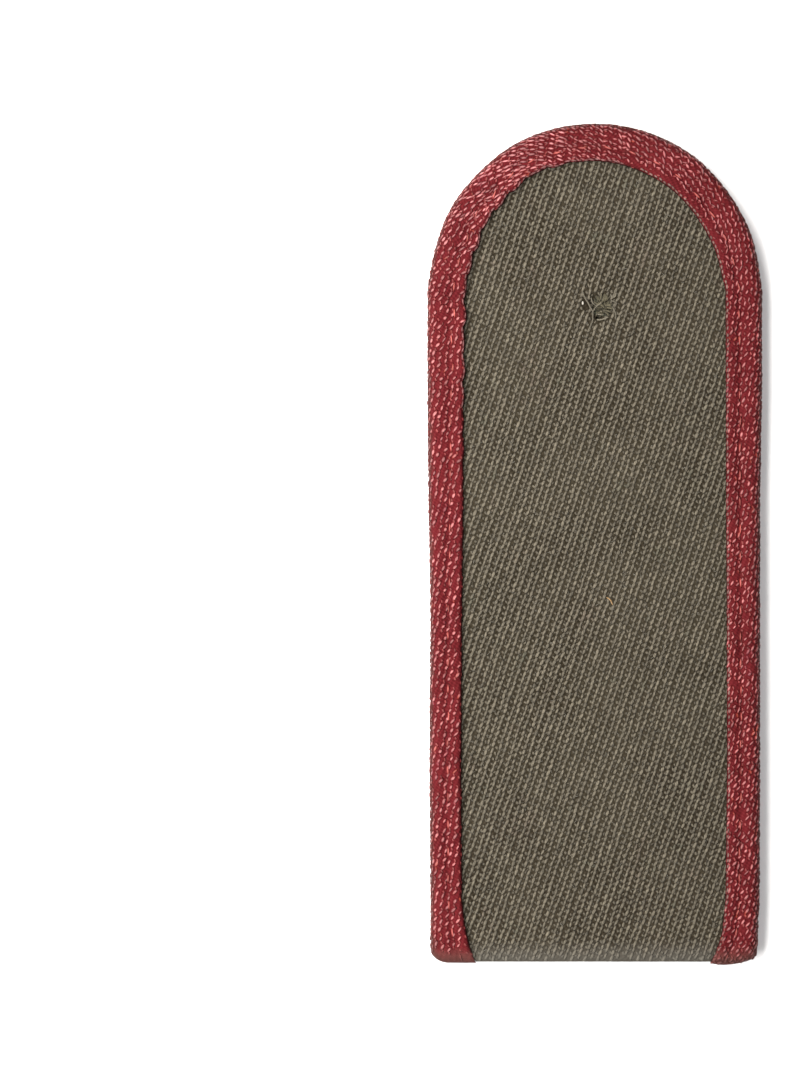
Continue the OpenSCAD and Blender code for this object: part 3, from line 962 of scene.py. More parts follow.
def makeBoardGround(material):
    top, bottom = boardHigh.z - board["groundDrop"], boardLow.z + board["groundDrop"]
    foldRadius = (top - bottom) / 2
    foldY = boardLow.y + (boardHigh.z - boardLow.z) / 2
    reach = archRadius - board["pocketReach"]
    # places along the board: by angle near the tip of the arch, then in steps
    tipTurns = [math.radians(2 + 43 * i / board["archSteps"]) for i in range(board["archSteps"])]
    tips = [archY + reach * math.cos(turn) for turn in tipTurns]
    ys = spread(-tips[-1] + 0.3, -foldY, board["coarseStep"], board["fineStep"], -holeY, board["fineReach"])
    ys = tips + [-y for y in ys]
    for side in (leftSide, rightSide):
        ys += [tuckY(side) + 0.02, tuckY(side) - 0.02]
    ys = sorted(set(ys), reverse=True)
    xs = spread(-reach, reach, board["coarseStep"], board["fineStep"], holeX, board["fineReach"])
    shares = [(x + reach) / (2 * reach) for x in xs]
    grid, flats, gaps, along = [], [], [], []

    def addRow(y, z, flatY, onTop, direction):
        left, right = -boardEdge(leftSide, y), boardEdge(rightSide, y)
        row, flatRow, gapRow = [], [], []
        for share in shares:
            x = left + (right - left) * share
            away = math.hypot(x - holeX, y - holeY)
            pull = max(0.0, 1 - away / board["puckerReach"])
            drop = board["puckerDepth"] * pull * pull * (3 - 2 * pull) if onTop else 0.0
            sag = board["sag"] * math.sin(x / 5.3 + 1.0) * math.sin(y / 9.1 + x / 14.0) if onTop else 0.0
            row.append((x, y, z - drop - abs(sag)))
            flatRow.append((x, flatY))
            # no floats in the torn places on top, and none that the tongue hides underneath
            hidden = tornGap(x, y) if onTop else tongueGap(x, y) + board["underTongue"]
            gapRow.append(min(clothGap(x, y), hidden))
        grid.append(row)
        flats.append(flatRow)
        gaps.append(gapRow)
        along.append([direction] * len(row))

    for y in ys:
        addRow(y, top, y, True, (0, 1, 0))
    for i in range(1, board["foldSteps"]):
        # the fold is rubbed bare: its floats are dropped and its ground stands almost at the full size
        turn = math.pi * i / board["foldSteps"]
        y = foldY - (foldRadius + board["groundDrop"] - board["foldDrop"]) * math.sin(turn)
        z = (top + bottom) / 2 + foldRadius * math.cos(turn)
        addRow(y, z, foldY - foldRadius * turn, False, (0, math.cos(turn), math.sin(turn)))
        gaps[-1] = [-1.2 * math.sin(turn) for x, y, z in grid[-1]]
    for y in reversed(ys):
        addRow(y, bottom, foldY - math.pi * foldRadius - (y - foldY), False, (0, -1, 0))
    grid = np.array(grid)
    rows, columns = grid.shape[:2]
    faces, cornerUv = [], []
    for i in range(rows):
        nextI = (i + 1) % rows
        for j in range(columns - 1):
            corners = [(i, j), (nextI, j), (nextI, j + 1), (i, j + 1)]
            faces.append([a * columns + b for a, b in corners])
            cornerUv += [flats[a][b] if nextI else offMap for a, b in corners]
    # the two side walls, hidden in the braid's pocket: each row of the top meets its row underneath
    for j in (0, columns - 1):
        for i in range(len(ys) - 1):
            faces.append([a * columns + j for a in (i, i + 1, rows - 2 - i, rows - 1 - i)])
            cornerUv += [offMap] * 4
        faces.append([a * columns + j for a in range(len(ys) - 1, rows - len(ys) + 1)])
        cornerUv += [offMap] * len(faces[-1])
    obj = makeGround("board_ground", material, grid, faces, cornerUv, along, gaps)
    return obj, foldY - math.pi * foldRadius - (ys[0] - foldY)


def pierce(obj, radius, raggedness, seed, place=(0.0, 0.0), bottom=-1.0):
    # Cuts a cloth with a slightly ragged round cutter, placed from the button hole's middle.
    draw = random.Random(seed)
    sides = board["holeSides"]
    radii = [radius * (1 + raggedness * draw.uniform(-1, 1)) for _ in range(sides)]
    points, faces = [], []
    for z in (bottom, midZ + 3.0):
        for i, radius in enumerate(radii):
            turn = 2 * math.pi * i / sides
            x = holeX + place[0] + radius * math.cos(turn)
            y = holeY + place[1] + radius * math.sin(turn)
            points.append((x, y, z))
    faces = [[i, (i + 1) % sides, sides + (i + 1) % sides, sides + i] for i in range(sides)]
    faces += [list(range(sides))[::-1], list(range(sides, 2 * sides))]
    cutter = closeUp(makeObject("hole_cutter", points, faces))
    cut = obj.modifiers.new("button hole", "BOOLEAN")
    cut.operation = "DIFFERENCE"
    cut.solver = "EXACT"
    cut.object = cutter
    evaluated = obj.evaluated_get(bpy.context.evaluated_depsgraph_get())
    mesh = bpy.data.meshes.new_from_object(evaluated)
    obj.modifiers.clear()
    obj.data = mesh
    bpy.data.objects.remove(cutter)
    print(obj.name, "pierced:", len(mesh.polygons), "faces")


def pullToHole(obj):
    # The yarns round the hole were dragged in when it was pierced, those above it most.
    mesh = obj.data
    places = np.empty(len(mesh.vertices) * 3)
    mesh.vertices.foreach_get("co", places)
    places = places.reshape(-1, 3) / mm
    x, y = places[:, 0] - holeX, places[:, 1] - holeY
    away = np.hypot(x, y) + 1e-6
    near = np.exp(-((away / board["dragReach"]) ** 2)) * (places[:, 2] > midZ)
    amount = board["drag"] * near * (1.0 + board["dragAbove"] * y / away)
    amount *= 1 + board["dragUneven"] * np.sin(np.arctan2(y, x) * board["dragLobes"] + 0.8)
    amount = np.minimum(amount, away * board["dragMost"])
    places[:, 0] -= x / away * amount
    places[:, 1] -= y / away * amount
    mesh.vertices.foreach_set("co", (places * mm).ravel())
    mesh.update()


# The fastening tongue.

tongue = {
    "rounding": 0.4, "edgeSteps": 5, "rowStep": 1.5, "fineStep": 0.35, "tipSteps": 26, "columns": 48,
    "groundDrop": 0.2, "weavePitch": 0.66, "holeRadius": 1.1, "holeRaggedness": 0.03, "holeBare": 1.75,
    "hemInset": 1.3, "hemStart": 10.0, "hemSteps": 40, "padInset": 1.2, "padLength": 5.6,
    "stitchLength": 1.5, "stitchGap": 0.6,
    "threadRadius": 0.15, "eyeletStitches": 30, "eyeletReach": 2.05,
}


def makeTongueGround(material):
    low, high = tongueLow.z + tongue["groundDrop"], midZ - (boardHigh.z - boardLow.z) / 2 - 0.1
    half = (tongueHigh.x - tongueLow.x) / 2 - 0.05
    roundY = tongueHigh.y - (tongueHigh.x - tongueLow.x) / 2
    thick = high - low
    startY = tongueLow.y + 0.05
    ys = [startY, startY + 0.12]
    ys += spread(startY + 0.4, roundY - 0.3, tongue["rowStep"], tongue["fineStep"], holeY, 2.6)
    tipTurns = [math.radians(88.5 * i / tongue["tipSteps"]) for i in range(tongue["tipSteps"] + 1)]
    ys += [roundY + half * math.sin(turn) for turn in tipTurns]
    grid, flats, gaps = [], [], []
    for number, y in enumerate(ys):
        wide = half if y < roundY else math.sqrt(max(half * half - (y - roundY) ** 2, 0.01))
        ending = 0.0 if number > 1 else (2 - number) / 2
        corner = min(tongue["rounding"], thick / 2)
        under = []
        for i in range(tongue["edgeSteps"] + 1):
            turn = math.pi / 2 * i / tongue["edgeSteps"]
            under.append((wide - corner * (1 - math.sin(turn)), low + corner * (1 - math.cos(turn))))
        # underside from left to right, then the upper side back
        shares = [-1 + 2 * i / tongue["columns"] for i in range(1, tongue["columns"])]
        flatPart = wide - corner
        lower = [(-x, z) for x, z in reversed(under)] + [(share * flatPart, low) for share in shares] + under
        upper = [(x, low + high - z) for x, z in reversed(under[:-1])]
        upper += [(-share * flatPart, high) for share in shares]
        upper += [(-x, low + high - z) for x, z in under[:-1]]
        shrink = 1 - 0.7 * ending * ending
        middle = (low + high) / 2
        row = [(x, y, middle + (z - middle) * shrink) for x, z in lower + upper]
        grid.append(row)
        flats.append([(x, y) for x, z in lower + upper])
        gaps.append([min(wide - abs(x), math.hypot(x - holeX, y - holeY) - tongue["holeBare"])
                     for x, z in lower + upper])
    lowerCount = len(lower)
    grid = np.array(grid)
    rows, ring = grid.shape[:2]
    faces, cornerUv = [], []
    for j, corners in ringFaces(rows, ring):
        faces.append([a * ring + b for a, b in corners])
        cornerUv += [flats[a][b] if j < lowerCount - 1 else offMap for a, b in corners]
    for i in (0, rows - 1):
        faces.append([i * ring + j for j in range(ring)])
        cornerUv += [offMap] * ring
    return makeGround("tongue_ground", material, grid, faces, cornerUv, rowDirections(grid), gaps)


# Finishes.

# looks without painted shade on the edge
noEdgeShade = {"shadeTop": -1.0, "shadeEnd": -2.0, "shadeLow": -3.0, "soilDepth": 0.0, "shadeColour": (0, 0, 0, 1)}
twillLook = {
    **noEdgeShade,
    # dark, middle and light: the yarn's tones, with painted shade where it dives and a painted highlight on its
    # crown
    "dark": (0.016, 0.012, 0.007, 1), "middle": (0.057, 0.047, 0.032, 1), "light": (0.110, 0.0945, 0.069, 1),
    "crownStart": -0.2, "toneSpread": 0.21, "fibreDepth": 0.95, "fineness": 3.4, "twist": 1.2,
    "patchSize": 0.0030, "patchDepth": 0.035, "rough": 0.78, "bump": 0.03,
    "sheen": 0.05, "sheenTint": (0.9, 0.87, 0.8, 1), "specular": 0.2,
    # tint, share, patch size, strength
    "tints": [((0.064, 0.070, 0.046, 1), -0.02, 0.0035, 0.22), ((0.092, 0.064, 0.048, 1), 0.0, 0.005, 0.25)],
    "wearStart": -52.6, "wearEnd": -56.2, "wearDepth": 0.6, "wearColour": (0.110, 0.102, 0.087, 1),
}
twillGroundLook = {
    **noEdgeShade,
    # the cloth's colour, darkened as painted shade of the gaps under the floats
    "dark": (0.011, 0.008, 0.004, 1), "middle": (0.026, 0.020, 0.012, 1), "light": (0.036, 0.029, 0.018, 1),
    "pitch": 0.75, "slant": 0.34, "patchSize": 0.009,
    "wearStart": -52.6, "wearEnd": -56.2, "wearDepth": 0.6, "wearColour": (0.088, 0.080, 0.067, 1),
}
braidLook = {
    # painted shade on the outer edge, where the braid falls away below its face
    "shadeTop": 3.60, "shadeEnd": 2.8, "shadeLow": 1.3, "soilDepth": 0.6, "shadeColour": (0.050, 0.020, 0.016, 1),
    # dark, middle and light: the red yarn's tones, with painted shade where it dives and a pink painted
    # highlight on its crown
    "dark": (0.056, 0.004, 0.005, 1), "middle": (0.106, 0.010, 0.011, 1), "light": (0.315, 0.115, 0.113, 1),
    "crownStart": 0.15, "toneSpread": 0.25, "fibreDepth": 0.35, "fineness": 2.6, "twist": 0.5,
    "patchSize": 0.004, "patchDepth": 0.14, "rough": 0.42, "bump": 0.025,
    "sheen": 0.0, "sheenTint": (1.0, 0.6, 0.55, 1), "specular": 0.18,
    "tints": [((0.230, 0.030, 0.012, 1), 0.0, 0.0022, 0.5), ((0.150, 0.025, 0.035, 1), 0.02, 0.006, 0.5)],
    "wearStart": -53.6, "wearEnd": -55.4, "wearDepth": 0.75, "wearColour": (0.110, 0.034, 0.030, 1),
}
braidGroundLook = {
    # painted shade on the outer edge, where the braid falls away below its face
    "shadeTop": 3.60, "shadeEnd": 2.8, "shadeLow": 1.3, "soilDepth": 0.6, "shadeColour": (0.044, 0.017, 0.013, 1),
    "dark": (0.048, 0.003, 0.004, 1), "middle": (0.083, 0.006, 0.008, 1), "light": (0.103, 0.009, 0.011, 1),
    "pitch": 0.7, "slant": 0.5, "patchSize": 0.006,
    "wearStart": -53.6, "wearEnd": -55.4, "wearDepth": 0.8, "wearColour": (0.095, 0.030, 0.026, 1),
}
tongueLook = {
    **twillLook, "dark": (0.018, 0.015, 0.010, 1), "middle": (0.058, 0.051, 0.037, 1),
    "light": (0.125, 0.113, 0.088, 1), "rough": 0.82, "tints": [], "wearDepth": 0.1,
}
tongueGroundLook = {**twillGroundLook, "pitch": 0.6, "slant": 0.0, "wearDepth": 0.1}


def changed(look, dark, middle, light, **changes):
    return {**look, "dark": (*dark, 1), "middle": (*middle, 1), "light": (*light, 1), **changes}


# a look to start from, its own dark, middle and light tones, then what else is its own
selvageLook = changed(
    braidLook, (0.060, 0.024, 0.020), (0.110, 0.055, 0.048), (0.180, 0.108, 0.094),
    rough=0.65, specular=0.12, tints=[], soilDepth=0.0)
gatherLook = changed(selvageLook, (0.060, 0.014, 0.014), (0.110, 0.034, 0.034), (0.200, 0.095, 0.092))
# a lighter copy of the braid yarn round the arch: painted highlight where its strokes catch the light
archHighlightLook = {**braidLook, "light": (0.390, 0.150, 0.150, 1), "toneSpread": 0.35}
linkLook = {**braidLook, "light": (0.300, 0.100, 0.100, 1), "toneSpread": 0.35}
# a darker copy of the braid yarn for the returns that cross the other way: painted shade, as they catch no
# highlight
returnShadedLook = changed(
    braidLook, (0.056, 0.004, 0.004), (0.098, 0.008, 0.008), (0.188, 0.047, 0.046), specular=0.1)
# darker copies of the twill yarn for the low yarns in the valleys and at the ribs' feet: painted shade
valleyShadedLook = {**twillLook, "light": (0.094, 0.0805, 0.058, 1), "middle": (0.050, 0.041, 0.0275, 1)}
footShadedLook = {**twillLook, "light": (0.074, 0.0625, 0.0445, 1), "middle": (0.040, 0.0325, 0.021, 1)}
hairLook = changed(
    twillLook, (0.070, 0.062, 0.048), (0.115, 0.104, 0.083), (0.195, 0.182, 0.152), toneSpread=0.5)
seamLook = changed(
    braidLook, (0.065, 0.005, 0.005), (0.150, 0.018, 0.015), (0.290, 0.072, 0.062), tints=[])
fraysLook = changed(
    twillLook, (0.035, 0.031, 0.021), (0.062, 0.053, 0.038), (0.110, 0.096, 0.070), toneSpread=0.35)
# the yarn ends and fuzz in the hole: darker copies of the twill yarn, as painted shade of the hole
endsLook = changed(
    twillLook, (0.018, 0.016, 0.009), (0.036, 0.031, 0.018), (0.072, 0.062, 0.038), toneSpread=0.4)
lintLook = changed(twillLook, (0.20, 0.19, 0.16), (0.30, 0.28, 0.24), (0.42, 0.39, 0.33), tints=[])
threadLook = changed(tongueLook, (0.040, 0.034, 0.024), (0.105, 0.094, 0.070), (0.185, 0.170, 0.132))
fleckLook = changed(twillLook, (0.12, 0.07, 0.03), (0.20, 0.12, 0.05), (0.33, 0.20, 0.09), tints=[])
fuzzLook = changed(
    twillLook, (0.010, 0.009, 0.005), (0.028, 0.024, 0.013), (0.062, 0.053, 0.031),
    toneSpread=0.8, tints=[((0.036, 0.046, 0.028, 1), 0.08, 0.0012, 0.7)])

twillCloth = yarnMaterial("twill_cloth_yarn", twillLook)
valleyShadedCloth = yarnMaterial("twill_cloth_valley_shaded", valleyShadedLook)
footShadedCloth = yarnMaterial("twill_cloth_foot_shaded", footShadedLook)
hairCloth = yarnMaterial("twill_cloth_hairs", hairLook)
twillGround = groundMaterial("twill_cloth_ground", twillGroundLook)
redBraid = yarnMaterial("red_braid_floats", braidLook)
archHighlightBraid = yarnMaterial("red_braid_arch_floats_highlit", archHighlightLook)
linkBraid = yarnMaterial("red_braid_links", linkLook)
returnShadedBraid = yarnMaterial("red_braid_returns_shaded", returnShadedLook)
redGround = groundMaterial("red_braid_ground", braidGroundLook)
selvageThread = yarnMaterial("red_braid_selvage", selvageLook)
gatherThread = yarnMaterial("red_braid_gathered_edge", gatherLook)
seamThread = yarnMaterial("red_braid_seam", seamLook)
tongueYarn = yarnMaterial("tongue_cloth_yarn", tongueLook)
tongueThread = yarnMaterial("tongue_cloth_threads", threadLook)
tongueGroundCloth = groundMaterial("tongue_cloth_ground", tongueGroundLook)
frayThread = yarnMaterial("twill_cloth_frays", fraysLook)
endThread = yarnMaterial("twill_cloth_yarn_ends", endsLook)
fuzzThread = yarnMaterial("twill_cloth_fuzz", fuzzLook)
lintThread = yarnMaterial("twill_cloth_lint", lintLook)
fleckThread = yarnMaterial("twill_cloth_stray_hair", fleckLook)
print("materials made")


# The three grounds.

braidGround, braidRun, braidCut, braidLattice = makeBraidGround(redGround)
boardGround, boardFlatEnd = makeBoardGround(twillGround)
tongueGround = makeTongueGround(tongueGroundCloth)

# Floats of the twill.

# A steep twill with its ribs in pairs: two ribs, and small yarns that cross in the wider valley. The valley and
# foot yarns are darker copies of the twill yarn, as painted shade.
twill = {"column": (1.750, 0.0), "row": (0.2526, 0.7460)}
twillRows = math.ceil((boardHigh.y - boardFlatEnd) / twill["row"][1])
twillShift = twillRows * twill["row"][0]
twillColumns = math.ceil((boardHigh.x - boardLow.x + twillShift) / twill["column"][0]) + 1
twillStart = (boardLow.x - twillShift, boardFlatEnd)


def layTwill(name, material, place, **values):
    shared = {
        "Start": (twillStart[0] + place[0], twillStart[1] + place[1]),
        "Column_Step": twill["column"], "Row_Step": twill["row"], "Columns": twillColumns, "Rows": twillRows,
        "Wander": 0.5, "Wander_Size": 13.0, "Least_Gap": -0.5,
    }
    return layFloats(boardGround, name, material, **{**shared, **values})


# name, material, place, width, length, height, lean and its spread, spread of size and place, rings, seed
twillLayers = [
    ("twill_first_ribs", twillCloth, (0.0, 0.0), 0.47, 1.05, 0.32, -24.0, 9.0, 0.18, 0.06, 4, 3),
    ("twill_second_ribs", twillCloth, (0.885, 0.336), 0.48, 1.09, 0.32, -26.0, 9.0, 0.18, 0.06, 4, 17),
    ("twill_valleys", valleyShadedCloth, (1.34, -0.05), 0.40, 0.56, 0.25, 30.0, 16.0, 0.2, 0.07, 3, 29),
    ("twill_feet", footShadedCloth, (0.53, 0.356), 0.34, 0.54, 0.22, -52.0, 16.0, 0.2, 0.07, 3, 37),
]
twillFloats = []
for name, material, place, width, length, height, lean, leanSpread, growth, slip, rings, seed in twillLayers:
    twillFloats.append(layTwill(
        name, material, place, Width=width, Length=length, Height=height, Lean=lean, Lean_Spread=leanSpread,
        Size_Spread=growth, Place_Spread=slip, Rings=rings, Seed=seed))
# short hairs that stand off the cloth in all directions, two for each column of ribs
hairs = layTwill(
    "twill_hairs", hairCloth, (0.4, 0.2), Width=0.07, Length=0.46, Height=0.07, Lean=-20.0, Lean_Spread=75.0,
    Lift=0.15, Sides=3, Rings=3, Column_Step=(0.875, 0.0), Columns=2 * twillColumns, Size_Spread=0.45,
    Place_Spread=0.40, Missing=0.60, Least_Gap=0.2, Seed=31)
for piece in twillFloats:
    pullToHole(piece)
pierce(boardGround, board["holeRadius"], board["holeRaggedness"], 5)
pierce(boardGround, board["pitRadius"], board["pitRaggedness"], 6, board["pitPlace"], board["pitBottom"])

# Frayed yarns at the button hole: how thick each is, then its line in millimetres from the hole's middle,
# right and up, then the height.
frays = [
    (1.5, [(-2.2, 1.75, 2.85), (-1.85, 0.85, 2.95), (-1.40, 0.15, 3.00), (-1.10, -0.45, 2.95),
           (-0.75, -1.0, 2.85)]),
    (1.45, [(-0.75, -1.0, 2.85), (-0.78, -1.6, 2.92), (-0.80, -2.2, 2.90), (-1.10, -2.9, 2.88),
            (-1.35, -3.6, 2.75)]),
    (1.0, [(-0.75, -1.0, 2.80), (-0.35, -0.35, 2.80), (0.20, 0.10, 2.78), (0.52, 0.40, 2.75),
           (0.35, 0.85, 2.70), (0.0, 1.0, 2.55)]),
    (0.7, [(-1.0, 0.85, 2.72), (-0.80, 0.20, 2.75), (-0.35, -0.15, 2.70), (0.15, 0.10, 2.60)]),
    (0.95, [(-0.35, -1.28, 2.72), (0.15, -1.38, 2.80), (0.75, -1.36, 2.70)]),
    (0.75, [(0.0, -1.0, 2.60), (0.45, -0.95, 2.70), (1.05, -0.80, 2.65)]),
    (1.1, [(1.60, 1.35, 2.80), (1.85, 0.95, 2.92), (2.25, 1.10, 2.90), (2.35, 1.5, 2.80)]),
    (1.0, [(1.65, 0.50, 2.80), (2.05, 0.35, 2.92), (2.4, 0.15, 2.85)]),
    (1.1, [(1.75, -0.25, 2.80), (2.05, -0.75, 2.92), (2.30, -1.35, 2.90), (2.25, -2.0, 2.80)]),
    (1.3, [(-0.25, -2.05, 2.80), (0.10, -2.1, 2.92), (0.55, -2.0, 2.92), (1.25, -1.75, 2.85)]),
]


def chances(source, low, high):
    return [source.uniform(low, high) for _ in range(3)]


def nearHole(path):
    return [(holeX + x, holeY + y, z) for x, y, z in path]


def inTorn(wide, high, away, turn):
    # A place from the middle of the largest torn oval.
    middleX, middleY = board["torn"][0][:2]
    return holeX + middleX + wide * away * math.cos(turn), holeY + middleY + high * away * math.sin(turn)


draw = random.Random(7)
fraysLines = []
for thick, path in frays:
    chance = chances(draw, -0.3, 1)
    fraysLines.append((nearHole(path), thick, chance))
holeFrays = drawYarns("hole_frays", fraysLines, frayThread, radius=0.11, steps=14, sides=6)
# short yarn ends that reach in over the torn oval, most of them from above and from the right, in a darker yarn
# as painted shade of the hole
ends = {
    "count": 22, "often": (-15.0, 130.0), "seldom": (-70.0, 190.0), "rim": (1.05, 1.22), "tip": (0.50, 0.85),
    "turned": 0.35, "heights": ((0.0, 2.82), (0.35, 2.94), (0.7, 2.88), (1.0, 2.70)), "thick": (0.40, 0.72),
}
endLines = []
endsDraw = random.Random(11)
ovalX, ovalY = board["torn"][0][2:]
for number in range(ends["count"]):
    low, high = ends["often"] if number % 4 else ends["seldom"]
    turn = math.radians(endsDraw.uniform(low, high))
    rim, tip = endsDraw.uniform(*ends["rim"]), endsDraw.uniform(*ends["tip"])
    bend = endsDraw.uniform(-1, 1) * ends["turned"]
    path = []
    for share, height in ends["heights"]:
        away, angle = rim + (tip - rim) * share, turn + bend * share * share
        path.append((*inTorn(ovalX, ovalY, away, angle), height))
    endLines.append((path, endsDraw.uniform(*ends["thick"]), chances(endsDraw, -0.9, 0.6)))
# fine threads that cross in the middle of the oval
crossing = {
    "count": 10, "reach": 0.75, "length": (0.5, 1.1), "bow": 0.3, "thick": (0.32, 0.55),
    "heights": ((-0.5, 2.55), (-0.2, 2.74), (0.2, 2.76), (0.5, 2.55)),
}
for number in range(crossing["count"]):
    turn, heading = endsDraw.uniform(0, 2 * math.pi), endsDraw.uniform(0, math.pi)
    away = crossing["reach"] * math.sqrt(endsDraw.random())
    length = endsDraw.uniform(*crossing["length"])
    x, y = inTorn(ovalX, ovalY, away, turn)
    bow = endsDraw.uniform(-crossing["bow"], crossing["bow"])
    path = []
    for share, height in crossing["heights"]:
        side = bow * (1 - 4 * share * share)
        path.append((x + length * share * math.cos(heading) - side * math.sin(heading),
                     y + length * share * math.sin(heading) + side * math.cos(heading), height))
    endLines.append((path, endsDraw.uniform(*crossing["thick"]), chances(endsDraw, -1.0, 0.5)))
holeEnds = drawYarns("hole_yarn_ends", endLines, endThread, radius=0.11, steps=10, sides=6)

# Dull fuzz that nearly closes the hole, drawn dark as painted shade of the hole.
fuzz = {
    "count": 300, "reach": (1.05, 1.30), "length": 1.0, "low": 2.25, "high": 2.75, "radius": 0.050,
    "rise": 0.15, "bend": 0.6, "waver": 0.06, "thick": (0.7, 1.3),
}
fuzzLines = []
for number in range(fuzz["count"]):
    turn = draw.uniform(0, 2 * math.pi)
    away = math.sqrt(draw.random())
    x, y = inTorn(*fuzz["reach"], away, turn)
    z = draw.uniform(fuzz["low"], fuzz["high"]) + fuzz["rise"] * away
    heading = draw.uniform(0, math.pi)
    length = fuzz["length"] * draw.uniform(0.5, 1.0)
    bend = draw.uniform(-fuzz["bend"], fuzz["bend"])
    path = []
    for step in (-0.5, -0.17, 0.17, 0.5):
        angle = heading + bend * step * 2
        path.append((x + length * step * math.cos(angle), y + length * step * math.sin(angle),
                     z + draw.uniform(-fuzz["waver"], fuzz["waver"])))
    fuzzLines.append((path, draw.uniform(*fuzz["thick"]), chances(draw, -1, 1)))
# a speck of lint at the hole's left, and one foreign hair on the cloth's middle
lintPath = nearHole([(-2.14, -0.03, 3.0), (-2.15, 0.13, 3.12), (-2.12, 0.30, 3.02)])
lint = drawYarns("lint_speck", [(lintPath, 1.0, (0.5, 0, 0))], lintThread, radius=0.12, steps=6, sides=6)
fleckPath = [(1.55, -7.10, 3.02), (2.05, -7.45, 3.14), (2.35, -8.05, 3.02)]
fleck = drawYarns("stray_hair", [(fleckPath, 1.0, (0.2, 0, 0))], fleckThread, radius=0.07, steps=8, sides=5)
holeFuzz = drawYarns("hole_fuzz", fuzzLines, fuzzThread, radius=fuzz["radius"], steps=5, sides=3)

# Floats of the braid.

columnPitch, rowPitch = braid["weavePitch"]
firstColumn, firstRow = [int(number) for number in braidLattice["low"]]
lastColumn, lastRow = [int(number) for number in braidLattice["high"]]


def rowAt(turn):
    return round(float(np.interp(turn, braidLattice["turns"], braidLattice["rows"])))


def layBraid(name, material, rows, shift=(0.0, 0.0), **values):
    # Lays floats on the weave's own map, from one row to another; the shift is in columns and rows.
    shared = {
        "Start": ((firstColumn + shift[0]) * columnPitch, (rows[0] + shift[1]) * rowPitch),
        "Column_Step": (columnPitch, 0.0), "Row_Step": (0.0, rowPitch),
        "Columns": lastColumn - firstColumn + 1, "Rows": rows[1] - rows[0],
        "Wander": 0.35, "Wander_Size": 9.0, "Least_Gap": 0.0, "Cloth_Map": "weaveUv",
    }
    return layFloats(braidGround, name, material, **{**shared, **values})


# the strokes change round the board: rows, material, width, length, lean and the lean's spread
archFoot, archTop, zigzagLow, zigzagEnd = rowAt(12.0), rowAt(80.0), rowAt(142.0), rowAt(172.0)
strokeRanges = [
    ("braid_strokes_left", (firstRow, archFoot), redBraid, 0.41, 0.99, -33.0, 16.0),
    ("braid_strokes_arch", (archFoot, archTop), archHighlightBraid, 0.36, 1.20, -28.0, 10.0),
    ("braid_zigzag_strokes", (archTop, zigzagLow), redBraid, 0.32, 1.10, -32.0, 15.0),
    ("braid_zigzag_low", (zigzagLow, zigzagEnd), redBraid, 0.27, 1.02, -32.0, 15.0),
    ("braid_strokes_right", (zigzagEnd, lastRow + 1), redBraid, 0.36, 0.99, -29.0, 16.0),
]
strokes = []
for number, (name, rows, material, width, length, lean, leanSpread) in enumerate(strokeRanges):
    strokes.append(layBraid(
        name, material, rows, Width=width, Length=length, Height=0.30, Lean=lean, Lean_Spread=leanSpread,
        Size_Spread=0.27, Place_Spread=0.115, Missing=0.06, Seed=41 + number))
# paler links between the strokes: rows, shift, width, length, lean, its spread and the share left out
linkRanges = [
    ("braid_foot_links", (archFoot, rowAt(24.0)), (0.5, 0.5), 0.25, 0.95, -26.0, 14.0, 0.65),
    ("braid_arch_links", (rowAt(24.0), rowAt(70.0)), (0.5, 0.5), 0.25, 1.05, -26.0, 12.0, 0.28),
    ("braid_tip_links", (rowAt(70.0), rowAt(92.0)), (0.4, 0.5), 0.24, 0.90, -14.0, 20.0, 0.50),
    ("braid_zigzag_links", (rowAt(92.0), zigzagEnd), (0.12, 0.5), 0.27, 0.88, 10.0, 22.0, 0.20),
]
for number, (name, rows, shift, width, length, lean, leanSpread, missing) in enumerate(linkRanges):
    strokes.append(layBraid(
        name, linkBraid, rows, shift, Width=width, Length=length, Height=0.28, Lean=lean,
        Lean_Spread=leanSpread, Size_Spread=0.25, Place_Spread=0.11, Missing=missing, Seed=67 + number))
returns = layBraid(
    "braid_returns", returnShadedBraid, (firstRow, lastRow + 1), (0.0, 0.5), Width=0.36, Length=0.66, Height=0.24,
    Lean=24.0, Lean_Spread=14.0, Size_Spread=0.2, Place_Spread=0.08, Rings=3, Missing=0.05, Least_Gap=-0.45,
    Seed=53)

# a pale thread along the inner edge: close round the left of the arch, dotted from the tip to the right end;
# material, where it starts and ends in shares of the braid's run, pitch, length, lean and seed
selvageRanges = [
    ("braid_selvage_left", gatherThread, 0.31, 0.52, 0.92, 1.02, -4.0, 61),
    ("braid_selvage_right", selvageThread, 0.53, 1.0, 0.80, 0.70, -14.0, 63),
]
selvage = []
for name, material, firstShare, lastShare, pitch, length, lean, seed in selvageRanges:
    selvage.append(layFloats(
        braidGround, name, material, Start=(0.52, braidRun * firstShare), Row_Step=(0.0, pitch), Columns=1,
        Rows=math.ceil(braidRun * (lastShare - firstShare) / pitch), Width=0.34, Length=length, Height=0.26,
        Lean=lean, Lean_Spread=12.0, Size_Spread=0.2, Place_Spread=0.08, Seed=seed))
stitchPitch = braid["stitchPitch"]
seam = layFloats(
    braidGround, "braid_stitches", seamThread, Start=(2.2, stitchPitch / 2), Row_Step=(0.0, stitchPitch),
    Columns=1, Rows=math.ceil(braidRun / stitchPitch), Width=0.30, Length=1.5, Height=0.30, Lift=0.06,
    Lean_Spread=5.0, Size_Spread=0.10, Place_Spread=0.10, Seed=71)

# Floats of the tongue.

